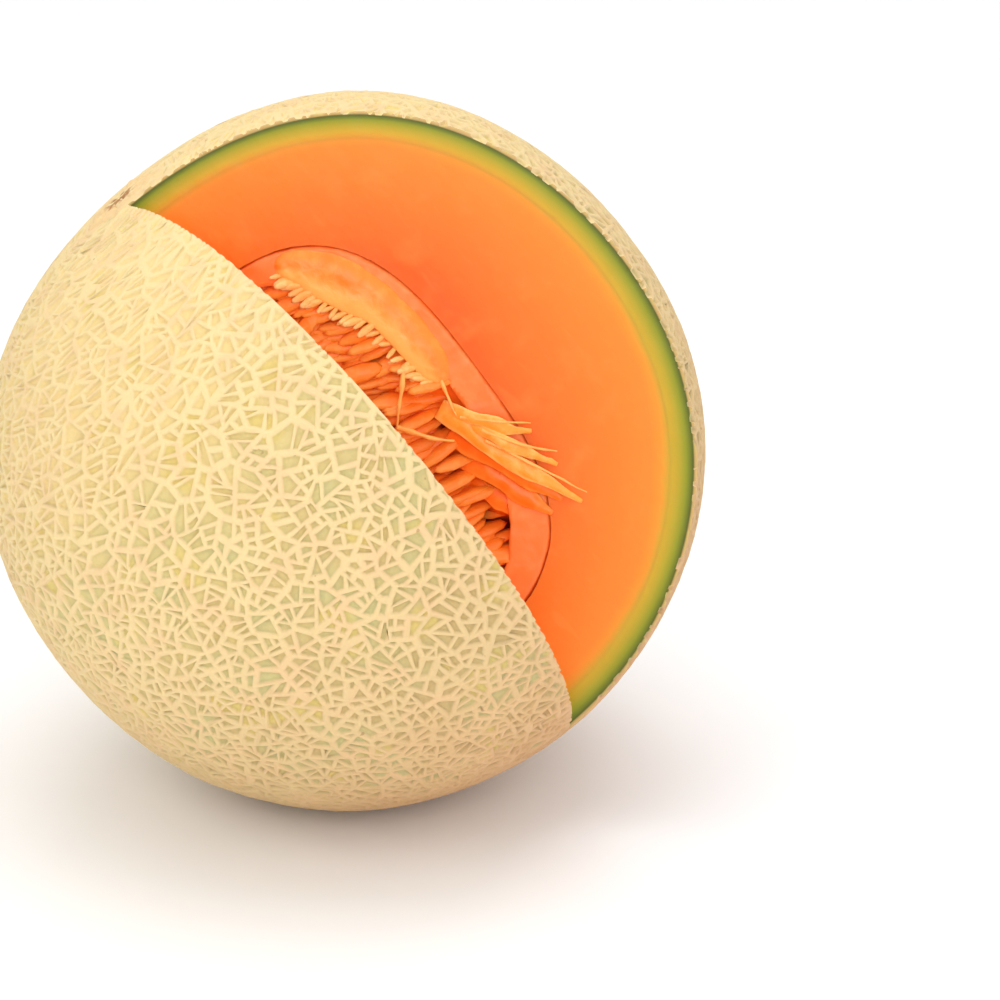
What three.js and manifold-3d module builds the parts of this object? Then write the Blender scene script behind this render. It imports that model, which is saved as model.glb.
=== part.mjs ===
// A cantaloupe melon with one wedge cut out of it. Millimetres, +Z up.
// It lies on a small flat spot with its stem end leaning to -X, and the cut opens to the front right.
// Every solid is made in the fruit's own frame: its axis is Z, with the stem end up.
import * as THREE from "three";
import { ConvexHull } from "three/addons/math/ConvexHull.js";
import { mergeVertices } from "three/addons/utils/BufferGeometryUtils.js";
import Module from "manifold-3d";

const wasm = await Module();
wasm.setup();

const degrees = THREE.MathUtils.degToRad;

// Whole fruit
const GIRTH_RADIUS = 76; // half the width at the widest girth, over the net
const OUTLINE_WAVES = [0, 0, -0.01, -0.0075, -0.0106, -0.003]; // share of the radius, by waves per turn
const STEM_LEAN = degrees(40); // how far the stem end leans from upright
const REST_DEPTH = 1.5; // how much the resting spot is flattened
const REST_FADE = [degrees(11.8), degrees(18)]; // the net dies away between these angles off the spot

// Rind and its raised net
const RIND_THICKNESS = 5.5;
const LAYER_GAP = 0.3; // clearance between the rind and the flesh
const NET_CELL = 12.4; // across one cell at the girth, larger than life
const NET_HEIGHT = 1.0;
const NET_HALF_WIDTH = 1.5;
const NET_STRETCH = 1.5; // extra width of the cells round the stem end
const NET_STRETCH_ANGLE = degrees(38);
const NET_SHRINK = 0.22; // how much smaller the cells are at the blossom end
const NET_JITTER = 0.3; // share of a cell that its centre may stray

// Seed cavity and what fills it
const CAVITY_RADIUS = 40;
const CAVITY_HALF_LENGTH = 49.5;
const CAVITY_POWER = 3; // blunt ends: two would be an ellipsoid
const PULP_GAP = 1; // crevice between the flesh and the seed pulp
const HOLLOW_CENTRE = new THREE.Vector3(4, -14, 2);
const HOLLOW_RADII = new THREE.Vector3(21, 24, 41);
const SEED_HALF = new THREE.Vector3(5.6, 2.3, 1.2); // half length, half width, half thickness
const SEED_ROWS = 8;
const SEED_ROW_STEP = 9;
const SEEDS_PER_ROW = 9;
const SEED_SINK = 0.3; // share of a seed's half length that is buried

// The cut: a wedge whose inner edge runs beside the axis
const CUT_EDGE = new THREE.Vector2(2.75, -19.2); // where the inner edge crosses the girth
const CUT_NEAR = degrees(-63.8); // direction of the near cut face, from the inner edge
const CUT_FAR = degrees(6.4); // direction of the far cut face
const CUT_LEAN = degrees(8.1); // the inner edge leans from the axis, back at the stem end

// Corky scar where the stem parted
const SCAR_RADIUS = 10.5;
const SCAR_DEPTH = 3.2;
const SCAR_LIP = 0.9;

const STEM_AXIS = new THREE.Vector3(0, 0, 1);
const REST_AXIS = new THREE.Vector3(-Math.sin(STEM_LEAN), 0, -Math.cos(STEM_LEAN));

// A repeatable stream of numbers from 0 to 1.
function seededRandom(seed) {
  let state = seed;
  return () => {
    state = (state + 0x6d2b79f5) | 0;
    let mixed = Math.imul(state ^ (state >>> 15), 1 | state);
    mixed = (mixed + Math.imul(mixed ^ (mixed >>> 7), 61 | mixed)) ^ mixed;
    return ((mixed ^ (mixed >>> 14)) >>> 0) / 4294967296;
  };
}

// A closed solid from a geometry: corners joined, collapsed triangles left out.
function toSolid(geometry) {
  const bare = new THREE.BufferGeometry();
  bare.setAttribute("position", geometry.getAttribute("position"));
  bare.setIndex(geometry.index);
  const joined = mergeVertices(bare, 1e-4);
  const corners = joined.index.array;
  const triVerts = [];
  for (let i = 0; i < corners.length; i += 3) {
    const [a, b, c] = [corners[i], corners[i + 1], corners[i + 2]];
    if (a !== b && b !== c && c !== a) {
      triVerts.push(a, b, c);
    }
  }
  const mesh = new wasm.Mesh({
    numProp: 3,
    vertProperties: Float32Array.from(joined.getAttribute("position").array),
    triVerts: Uint32Array.from(triVerts),
  });
  return new wasm.Manifold(mesh);
}

// The geometry of a solid's largest body; loose scraps are dropped.
function toGeometry(solid) {
  let body = null;
  for (const piece of solid.decompose()) {
    if (body === null || piece.volume() > body.volume()) {
      body = piece;
    }
  }
  const mesh = body.getMesh();
  const geometry = new THREE.BufferGeometry();
  geometry.setAttribute("position", new THREE.BufferAttribute(new Float32Array(mesh.vertProperties), 3));
  geometry.setIndex(Array.from(mesh.triVerts));
  geometry.computeVertexNormals();
  return geometry;
}

// Distance from the centre to the top of the net, by the angle from the stem end.
function outlineRadius(polar) {
  let share = 1;
  OUTLINE_WAVES.forEach((size, waves) => {
    share += size * Math.cos(waves * polar);
  });
  return GIRTH_RADIUS * share;
}

// The point of the fruit's outline in a direction, set in by a depth.
function outlinePoint(direction, depth) {
  const polar = direction.angleTo(STEM_AXIS);
  return direction.clone().multiplyScalar(outlineRadius(polar) - depth);
}

// The point of the cavity's wall in a direction, set in by a depth.
function cavityPoint(direction, depth) {
  const across = Math.hypot(direction.x, direction.y) / (CAVITY_RADIUS - depth);
  const along = Math.abs(direction.z) / (CAVITY_HALF_LENGTH - depth);
  const reach = (across ** CAVITY_POWER + along ** CAVITY_POWER) ** (-1 / CAVITY_POWER);
  return direction.clone().multiplyScalar(reach);
}

// A round solid: a unit sphere whose points are moved out to a surface.
function roundSolid(around, along, place) {
  const geometry = new THREE.SphereGeometry(1, around, along);
  geometry.rotateX(Math.PI / 2);
  const points = geometry.getAttribute("position");
  const direction = new THREE.Vector3();
  for (let i = 0; i < points.count; i += 1) {
    direction.fromBufferAttribute(points, i).normalize();
    const point = place(direction);
    points.setXYZ(i, point.x, point.y, point.z);
  }
  return toSolid(geometry);
}

// Centres of the net's cells: rows from the stem end to the blossom end, each centre strayed a little.
function netCentres() {
  const random = seededRandom(11);
  const centres = [new THREE.Vector3(0, 0, 1)];
  let polar = 0;
  while (polar < Math.PI) {
    const stretch = 1 + NET_STRETCH * Math.exp(-((polar / NET_STRETCH_ANGLE) ** 2));
    const cell = NET_CELL * (1 - NET_SHRINK * (polar / Math.PI) ** 2);
    const height = (0.88 * cell) / Math.sqrt(stretch);
    const width = cell * Math.sqrt(stretch);
    polar += height / GIRTH_RADIUS;
    const around = (2 * Math.PI * GIRTH_RADIUS * Math.sin(polar)) / width;
    if (polar > Math.PI - (0.6 * height) / GIRTH_RADIUS) {
      break;
    }
    const count = Math.max(4, Math.round(around));
    const turn = random();
    for (let i = 0; i < count; i += 1) {
      const strayPolar = ((random() * 2 - 1) * NET_JITTER * height) / GIRTH_RADIUS;
      const azimuth = ((i + turn + (random() * 2 - 1) * NET_JITTER) / count) * 2 * Math.PI;
      centres.push(new THREE.Vector3().setFromSphericalCoords(1, polar + strayPolar, azimuth));
    }
  }
  centres.forEach((centre, i) => {
    if (i > 0) {
      centre.set(centre.z, centre.x, centre.y);
    }
  });
  centres.push(new THREE.Vector3(0, 0, -1));
  return centres;
}

// Depth of the net's cells in a direction: none on the resting spot.
function netDepth(direction) {
  const angle = direction.angleTo(REST_AXIS);
  return NET_HEIGHT * THREE.MathUtils.smoothstep(angle, REST_FADE[0], REST_FADE[1]);
}

// The netted fruit as one closed solid: ridges follow the borders between neighbouring cell centres.
function nettedFruit() {
  const centres = netCentres();
  const hull = new ConvexHull().setFromPoints(centres);
  const meetings = new Map(centres.map((centre) => [centre, []]));
  const positions = [];
  const index = [];
  const addPoint = (point) => {
    positions.push(point.x, point.y, point.z);
    return positions.length / 3 - 1;
  };
  for (const face of hull.faces) {
    const corners = [face.edge, face.edge.next, face.edge.next.next].map((edge) => edge.head().point);
    const crest = new THREE.Vector3().add(corners[0]).add(corners[1]).add(corners[2]).normalize();
    const entry = { crest, id: addPoint(outlinePoint(crest, 0)) };
    corners.forEach((corner) => meetings.get(corner).push(entry));
  }
  for (const [centre, ring] of meetings) {
    const side = new THREE.Vector3(centre.y, centre.z, -centre.x).cross(centre).normalize();
    const up = new THREE.Vector3().crossVectors(centre, side);
    const angleOf = (entry) => Math.atan2(entry.crest.dot(up), entry.crest.dot(side));
    ring.sort((a, b) => angleOf(a) - angleOf(b));
    const feet = ring.map(({ crest }) => {
      const reach = crest.distanceTo(centre) * GIRTH_RADIUS;
      const share = Math.min(0.45, NET_HALF_WIDTH / reach);
      const foot = crest.clone().lerp(centre, share).normalize();
      return addPoint(outlinePoint(foot, netDepth(foot)));
    });
    ring.forEach((entry, i) => {
      const next = (i + 1) % ring.length;
      index.push(entry.id, ring[next].id, feet[next]);
      index.push(entry.id, feet[next], feet[i]);
    });
    for (let i = 1; i < feet.length - 1; i += 1) {
      index.push(feet[0], feet[i], feet[i + 1]);
    }
  }
  const geometry = new THREE.BufferGeometry();
  geometry.setAttribute("position", new THREE.Float32BufferAttribute(positions, 3));
  geometry.setIndex(index);
  return toSolid(geometry);
}

// The wedge that is cut away: a long three-sided prism.
function cutWedge() {
  const reach = 3 * GIRTH_RADIUS;
  const outline = new THREE.Shape([
    CUT_EDGE,
    new THREE.Vector2(reach * Math.cos(CUT_NEAR), reach * Math.sin(CUT_NEAR)).add(CUT_EDGE),
    new THREE.Vector2(reach * Math.cos(CUT_FAR), reach * Math.sin(CUT_FAR)).add(CUT_EDGE),
  ]);
  const geometry = new THREE.ExtrudeGeometry(outline, { depth: reach, bevelEnabled: false });
  const bare = new THREE.BufferGeometry();
  bare.setAttribute("position", geometry.getAttribute("position"));
  const wedge = mergeVertices(bare, 1e-4);
  wedge.translate(0, 0, -reach / 2);
  wedge.rotateX(-CUT_LEAN);
  return toSolid(wedge);
}

// A point over the far cut face: out from the inner edge, up toward the stem end, and off the face.
function farFacePoint(out, up, lift) {
  const point = new THREE.Vector3(
    CUT_EDGE.x + out * Math.cos(CUT_FAR) + lift * Math.sin(CUT_FAR),
    CUT_EDGE.y + out * Math.sin(CUT_FAR) - lift * Math.cos(CUT_FAR),
    up,
  );
  return point.applyAxisAngle(new THREE.Vector3(1, 0, 0), -CUT_LEAN);
}

// A tapering strip of pulp along a curve, flat across the given normal and closed at both ends.
function pulpStrip(path, normal, halfWidth, halfThickness, steps, sides) {
  const curve = new THREE.CatmullRomCurve3(path);
  const positions = [];
  const index = [];
  for (let i = 0; i <= steps; i += 1) {
    const along = i / steps;
    const centre = curve.getPoint(along);
    const across = new THREE.Vector3().crossVectors(normal, curve.getTangent(along)).normalize();
    const thick = new THREE.Vector3().crossVectors(curve.getTangent(along), across).normalize();
    const taper = Math.max(0.3, Math.sin(Math.PI * (0.35 + 0.62 * along)));
    for (let j = 0; j < sides; j += 1) {
      const turn = (2 * Math.PI * j) / sides;
      const point = centre.clone();
      point.addScaledVector(across, halfWidth * taper * Math.cos(turn));
      point.addScaledVector(thick, halfThickness * Math.sqrt(taper) * Math.sin(turn));
      positions.push(point.x, point.y, point.z);
    }
  }
  for (let i = 0; i < steps; i += 1) {
    for (let j = 0; j < sides; j += 1) {
      const a = i * sides + j;
      const b = i * sides + ((j + 1) % sides);
      index.push(a, b, a + sides, b, b + sides, a + sides);
    }
  }
  for (let j = 1; j < sides - 1; j += 1) {
    const last = steps * sides;
    index.push(0, j + 1, j, last, last + j, last + j + 1);
  }
  const geometry = new THREE.BufferGeometry();
  geometry.setAttribute("position", new THREE.Float32BufferAttribute(positions, 3));
  geometry.setIndex(index);
  return toSolid(geometry);
}

// Pulp-coated seeds standing out of the hollow's wall in rows, flat sides across the axis.
function seedRows() {
  const random = seededRandom(29);
  const seeds = [];
  for (let row = 0; row < SEED_ROWS; row += 1) {
    const height = (row - (SEED_ROWS - 1) / 2) * SEED_ROW_STEP;
    const narrowing = Math.sqrt(1 - (height / HOLLOW_RADII.z) ** 2);
    const count = Math.max(6, Math.round(SEEDS_PER_ROW * narrowing));
    const start = random();
    for (let i = 0; i < count; i += 1) {
      const turn = (2 * Math.PI * (i + start + 0.25 * random())) / count;
      const geometry = new THREE.SphereGeometry(1, 5, 3);
      geometry.scale(SEED_HALF.x, SEED_HALF.y, SEED_HALF.z);
      geometry.translate(SEED_SINK * SEED_HALF.x * (2 * random() - 1), 0, 0);
      geometry.rotateX(degrees(24) * (random() - 0.5));
      geometry.rotateY(degrees(30) * (random() - 0.5));
      geometry.rotateZ(turn);
      geometry.translate(
        HOLLOW_CENTRE.x + HOLLOW_RADII.x * narrowing * Math.cos(turn),
        HOLLOW_CENTRE.y + HOLLOW_RADII.y * narrowing * Math.sin(turn),
        HOLLOW_CENTRE.z + height + 2 * (random() - 0.5),
      );
      seeds.push(toSolid(geometry));
    }
  }
  return wasm.Manifold.union(seeds);
}

// The seed pulp: a lobed lining of the cavity round an open hollow, with its seeds and torn strips.
function seedPulp(wedge) {
  const filling = roundSolid(32, 18, (direction) => cavityPoint(direction, PULP_GAP));
  const hollow = roundSolid(20, 12, (direction) => {
    return direction.clone().multiply(HOLLOW_RADII).add(HOLLOW_CENTRE);
  });
  const tearCentre = farFacePoint(32, -21, -4);
  const tear = roundSolid(12, 8, (direction) => {
    return new THREE.Vector3(direction.x * 11, direction.y * 13, direction.z * 20).add(tearCentre);
  });
  const faceNormal = farFacePoint(0, 0, 1).sub(farFacePoint(0, 0, 0));
  const flap = [
    farFacePoint(25, 6, -3),
    farFacePoint(27, -6, 1.2),
    farFacePoint(30, -17, 2.4),
    farFacePoint(34, -28, 2.2),
    farFacePoint(38, -38, 1.9),
  ];
  const thread = [
    farFacePoint(27, -3, -1),
    farFacePoint(31, -10, 1.6),
    farFacePoint(35.5, -15, 2),
    farFacePoint(39, -21, 1.6),
  ];
  let pulp = filling.subtract(hollow).subtract(tear).add(seedRows());
  pulp = pulp.intersect(filling).subtract(wedge);
  pulp = pulp.add(pulpStrip(flap, faceNormal, 5, 1.2, 9, 8));
  return pulp.add(pulpStrip(thread, faceNormal, 1, 0.8, 6, 6));
}

// The stem scar: a corky disc with a raised lip round a sunken middle.
function stemScar() {
  const top = outlineRadius(0);
  const fall = (radius) => (radius * radius) / (2 * GIRTH_RADIUS);
  const profile = [
    new THREE.Vector2(0, top - SCAR_DEPTH),
    new THREE.Vector2(SCAR_RADIUS, top - SCAR_DEPTH),
    new THREE.Vector2(SCAR_RADIUS, top - fall(SCAR_RADIUS)),
    new THREE.Vector2(0.82 * SCAR_RADIUS, top - fall(0.82 * SCAR_RADIUS) + SCAR_LIP),
    new THREE.Vector2(0.55 * SCAR_RADIUS, top - fall(0.55 * SCAR_RADIUS) - 0.3),
    new THREE.Vector2(0.25 * SCAR_RADIUS, top + 0.2),
    new THREE.Vector2(0, top - 0.2),
  ];
  const geometry = new THREE.LatheGeometry(profile, 22);
  geometry.rotateX(Math.PI / 2);
  const points = geometry.getAttribute("position");
  for (let i = 0; i < points.count; i += 1) {
    const azimuth = Math.atan2(points.getY(i), points.getX(i));
    const out = Math.hypot(points.getX(i), points.getY(i)) / SCAR_RADIUS;
    const crack = out * (1 - out) * (Math.cos(5 * azimuth) + Math.cos(8 * azimuth + 1));
    points.setZ(i, points.getZ(i) + (points.getZ(i) > top - 0.5 * SCAR_DEPTH ? crack : 0));
  }
  return toSolid(geometry);
}

// The hole in the rind that takes the stem scar.
function scarSeat() {
  const geometry = new THREE.CylinderGeometry(SCAR_RADIUS + LAYER_GAP, SCAR_RADIUS + LAYER_GAP, 10, 22);
  geometry.rotateX(Math.PI / 2);
  geometry.translate(0, 0, outlineRadius(0) - SCAR_DEPTH - LAYER_GAP + 5);
  return toSolid(geometry);
}

// Where the fruit stands: leaning, centred over the origin, its resting spot on the ground plane.
function placement(fruit) {
  const lean = new THREE.Matrix4().makeRotationY(-STEM_LEAN);
  const points = fruit.getMesh().vertProperties;
  const extent = new THREE.Box3();
  for (let i = 0; i < points.length; i += 3) {
    extent.expandByPoint(new THREE.Vector3(points[i], points[i + 1], points[i + 2]).applyMatrix4(lean));
  }
  const centre = extent.getCenter(new THREE.Vector3());
  return new THREE.Matrix4().makeTranslation(-centre.x, -centre.y, -extent.min.z - REST_DEPTH).multiply(lean);
}

// Everything under the ground plane, in the fruit's own frame.
function belowGround(place) {
  const geometry = new THREE.BoxGeometry(3 * GIRTH_RADIUS, 3 * GIRTH_RADIUS, 20);
  geometry.translate(0, 0, -10);
  geometry.applyMatrix4(place.clone().invert());
  return toSolid(geometry);
}

function addPart(group, name, solid, material) {
  const mesh = new THREE.Mesh(toGeometry(solid), new THREE.MeshStandardMaterial(material));
  mesh.name = name;
  group.add(mesh);
}

const wedge = cutWedge();
const fruit = nettedFruit();
const place = placement(fruit.subtract(wedge));
const rindInside = roundSolid(36, 20, (direction) => outlinePoint(direction, RIND_THICKNESS));
const fleshOutside = roundSolid(36, 20, (direction) => outlinePoint(direction, RIND_THICKNESS + LAYER_GAP));
const cavity = roundSolid(32, 18, (direction) => cavityPoint(direction, 0));

const rind = fruit.subtract(rindInside).subtract(wedge).subtract(scarSeat()).subtract(belowGround(place));
const flesh = fleshOutside.subtract(cavity).subtract(wedge);

const melon = new THREE.Group();
melon.name = "cantaloupe_melon";
melon.applyMatrix4(place);
addPart(melon, "rind", rind, { color: 0xd8c189, roughness: 0.7, metalness: 0 });
addPart(melon, "flesh", flesh, { color: 0xf2954a, roughness: 0.4, metalness: 0 });
addPart(melon, "seed_pulp", seedPulp(wedge), { color: 0xefa04e, roughness: 0.35, metalness: 0 });
addPart(melon, "stem_scar", stemScar().subtract(wedge), { color: 0xa88c62, roughness: 0.85, metalness: 0 });

const part = new THREE.Group();
part.add(melon);

export default part;
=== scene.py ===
"""A cantaloupe melon with one wedge cut out of it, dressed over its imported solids.

The rind carries its raised net as geometry, the cut faces shade from the dark skin through green to
orange, and the seed cavity holds pulp lobes with a fringe, rows of coated seeds and torn strands.
"""

from __future__ import annotations

import logging
import math
from dataclasses import dataclass, field
from enum import Enum
from typing import Callable, Iterable, Sequence, Union

import bpy
import numpy as np
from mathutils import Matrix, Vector, noise

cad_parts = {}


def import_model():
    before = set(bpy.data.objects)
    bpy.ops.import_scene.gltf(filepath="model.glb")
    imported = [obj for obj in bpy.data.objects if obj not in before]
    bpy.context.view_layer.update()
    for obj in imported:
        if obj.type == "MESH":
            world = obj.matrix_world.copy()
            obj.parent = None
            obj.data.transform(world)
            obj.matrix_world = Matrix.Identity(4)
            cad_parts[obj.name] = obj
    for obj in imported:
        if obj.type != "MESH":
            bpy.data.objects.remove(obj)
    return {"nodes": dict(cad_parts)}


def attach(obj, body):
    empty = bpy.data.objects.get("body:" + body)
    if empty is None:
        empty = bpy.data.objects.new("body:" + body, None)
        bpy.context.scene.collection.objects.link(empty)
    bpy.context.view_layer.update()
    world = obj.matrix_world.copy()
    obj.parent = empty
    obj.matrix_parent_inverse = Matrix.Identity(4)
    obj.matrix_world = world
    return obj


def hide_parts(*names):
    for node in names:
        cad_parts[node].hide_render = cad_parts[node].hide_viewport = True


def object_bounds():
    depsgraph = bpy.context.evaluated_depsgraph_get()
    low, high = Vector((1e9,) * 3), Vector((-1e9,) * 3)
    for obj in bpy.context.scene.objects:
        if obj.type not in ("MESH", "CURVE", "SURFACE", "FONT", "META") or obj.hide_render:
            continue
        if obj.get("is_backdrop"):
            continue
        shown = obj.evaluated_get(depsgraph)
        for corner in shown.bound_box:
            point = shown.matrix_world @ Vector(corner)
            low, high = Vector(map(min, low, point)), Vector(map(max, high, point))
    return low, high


LOG = logging.getLogger("melon")
MM = 0.001
Colour = tuple[float, float, float]
Number = Union[float, int]
Route = Sequence[tuple[float, float, float]]


def linear(red: float, green: float, blue: float) -> tuple[float, float, float, float]:
    """Turns a screen colour into the linear one that a shader takes.

    Args:
        red: Red from 0 to 255.
        green: Green from 0 to 255.
        blue: Blue from 0 to 255.

    Returns:
        Linear red, green and blue, and an alpha of one.
    """
    channels = [c / 255.0 for c in (red, green, blue)]
    lin = [c / 12.92 if c <= 0.04045 else ((c + 0.055) / 1.055) ** 2.4 for c in channels]
    return (lin[0], lin[1], lin[2], 1.0)


def units(vectors: np.ndarray) -> np.ndarray:
    """Scales each row to a length of one."""
    return vectors / np.linalg.norm(vectors, axis=1)[:, None]


def waver(points: np.ndarray, scale: float, seed: float = 0.0) -> np.ndarray:
    """Gives smooth noise at points.

    Args:
        points: One point per row, in metres.
        scale: Lumps per metre.
        seed: Shifts the pattern.

    Returns:
        One value per point, about minus one to one.
    """
    shift = Vector((seed, seed * 1.7, -seed))
    return np.array([noise.noise(Vector(p) * scale + shift) for p in points])


def crosswise(first: np.ndarray, second: np.ndarray) -> np.ndarray:
    """Gives the cross product of flat vectors, row by row."""
    return first[:, 0] * second[:, 1] - first[:, 1] * second[:, 0]


def bumps(points: np.ndarray, *layers: tuple[float, float, float]) -> np.ndarray:
    """Adds up layers of noise, each given by its height, its lumps per metre and its seed."""
    return sum(height * waver(points, scale, seed) for height, scale, seed in layers)


def follow(route: Sequence[Sequence[float]], shares: np.ndarray) -> np.ndarray:
    """Follows a smooth curve through points.

    Args:
        route: The points.
        shares: Places along the curve, nought to one.

    Returns:
        One point per share.
    """
    knots = np.asarray(route, float)
    padded = np.vstack([2 * knots[0] - knots[1], knots, 2 * knots[-1] - knots[-2]])
    place = np.clip(shares, 0, 1) * (len(knots) - 1)
    start = np.minimum(place.astype(int), len(knots) - 2)
    t = (place - start)[:, None]
    a, b, c, d = (padded[start + k] for k in range(4))
    return 0.5 * (2 * b + (c - a) * t + (2 * a - 5 * b + 4 * c - d) * t**2 + (3 * b - a - 3 * c + d) * t**3)


class CutFace(Enum):
    """The two faces of the wedge cut, by their direction from the cut's inner edge."""

    NEAR = math.radians(-63.8)
    FAR = math.radians(6.4)


@dataclass(frozen=True)
class Fruit:
    """The melon's own form, its axis along Z with the stem end up, and how it lies in the row frame."""

    girth_radius: float = 76 * MM
    waves: tuple[float, ...] = (0.0, 0.0, -0.01, -0.0075, -0.0106, -0.003)
    lean: float = math.radians(40.0)
    centre: tuple[float, float, float] = (0.000584, 0.000015, 0.074607)
    cut_edge: tuple[float, float] = (2.75 * MM, -19.2 * MM)
    cut_lean: float = math.radians(8.1)
    rind_thickness: float = 5.5 * MM
    cavity_radius: float = 40 * MM
    cavity_half_length: float = 49.5 * MM
    cavity_power: float = 3.0

    def outline(self, directions: np.ndarray) -> np.ndarray:
        """Gives the distance from the centre to the top of the net.

        Args:
            directions: Unit directions in the fruit's frame, one per row.

        Returns:
            One radius per direction.
        """
        polar = np.arccos(np.clip(directions[:, 2], -1.0, 1.0))
        share = np.ones(len(directions))
        for count, size in enumerate(self.waves):
            share += size * np.cos(count * polar)
        return self.girth_radius * share

    def cavity(self, directions: np.ndarray, inset: float) -> np.ndarray:
        """Gives the distance from the centre to the cavity's wall.

        Args:
            directions: Unit directions in the fruit's frame, one per row.
            inset: How far inside the wall.

        Returns:
            One radius per direction.
        """
        across = np.hypot(directions[:, 0], directions[:, 1]) / (self.cavity_radius - inset)
        along = np.abs(directions[:, 2]) / (self.cavity_half_length - inset)
        power = self.cavity_power
        return (across**power + along**power) ** (-1.0 / power)

    def lean_turn(self) -> np.ndarray:
        """Gives the turn from the fruit's frame to the row frame."""
        c, s = math.cos(self.lean), math.sin(self.lean)
        return np.array([[c, 0.0, -s], [0.0, 1.0, 0.0], [s, 0.0, c]])

    def edge_turn(self) -> np.ndarray:
        """Gives the turn that leans the cut's inner edge back at the stem end."""
        c, s = math.cos(self.cut_lean), math.sin(self.cut_lean)
        return np.array([[1.0, 0.0, 0.0], [0.0, c, s], [0.0, -s, c]])

    def place(self, points: np.ndarray) -> np.ndarray:
        """Moves points from the fruit's frame to the row frame."""
        return np.asarray(points, float) @ self.lean_turn().T + np.array(self.centre)

    def own(self, points: np.ndarray) -> np.ndarray:
        """Moves points from the row frame to the fruit's frame."""
        return (np.asarray(points, float) - np.array(self.centre)) @ self.lean_turn()

    def face_axes(self, face: CutFace) -> np.ndarray:
        """Gives a cut face's directions in the fruit's frame.

        Args:
            face: Which cut face.

        Returns:
            Three rows: out from the inner edge, up along it, and off the face into the cut.
        """
        c, s = math.cos(face.value), math.sin(face.value)
        side = 1.0 if face is CutFace.FAR else -1.0
        axes = np.array([[c, s, 0.0], [0.0, 0.0, 1.0], [side * s, -side * c, 0.0]])
        return axes @ self.edge_turn().T

    def on_face(self, face: CutFace, steps: np.ndarray) -> np.ndarray:
        """Gives points over a cut face, in the fruit's frame.

        Args:
            face: Which cut face.
            steps: Rows of out, up and lift.

        Returns:
            The points in the fruit's frame.
        """
        edge = self.edge_turn() @ np.array([self.cut_edge[0], self.cut_edge[1], 0.0])
        return np.asarray(steps, float) @ self.face_axes(face) + edge

    def off_face(self, face: CutFace, points: np.ndarray) -> np.ndarray:
        """Gives out, up and lift over a cut face for points in the fruit's frame."""
        return (points - self.on_face(face, np.zeros((1, 3)))) @ self.face_axes(face).T

    def cavity_reach(self, face: CutFace, ups: np.ndarray, inset: float) -> np.ndarray:
        """Finds how far out the cavity's wall crosses a cut face.

        Args:
            face: Which cut face.
            ups: Heights along the inner edge.
            inset: How far inside the wall.

        Returns:
            The distance out from the inner edge at each height, zero past the cavity's ends.
        """
        low, high = np.zeros(len(ups)), np.full(len(ups), self.girth_radius)
        for _ in range(40):
            middle = (low + high) / 2
            points = self.on_face(face, np.column_stack([middle, ups, np.zeros(len(ups))]))
            inside = np.linalg.norm(points, axis=1) < self.cavity(units(points), inset)
            low, high = np.where(inside, middle, low), np.where(inside, high, middle)
        return low


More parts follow.
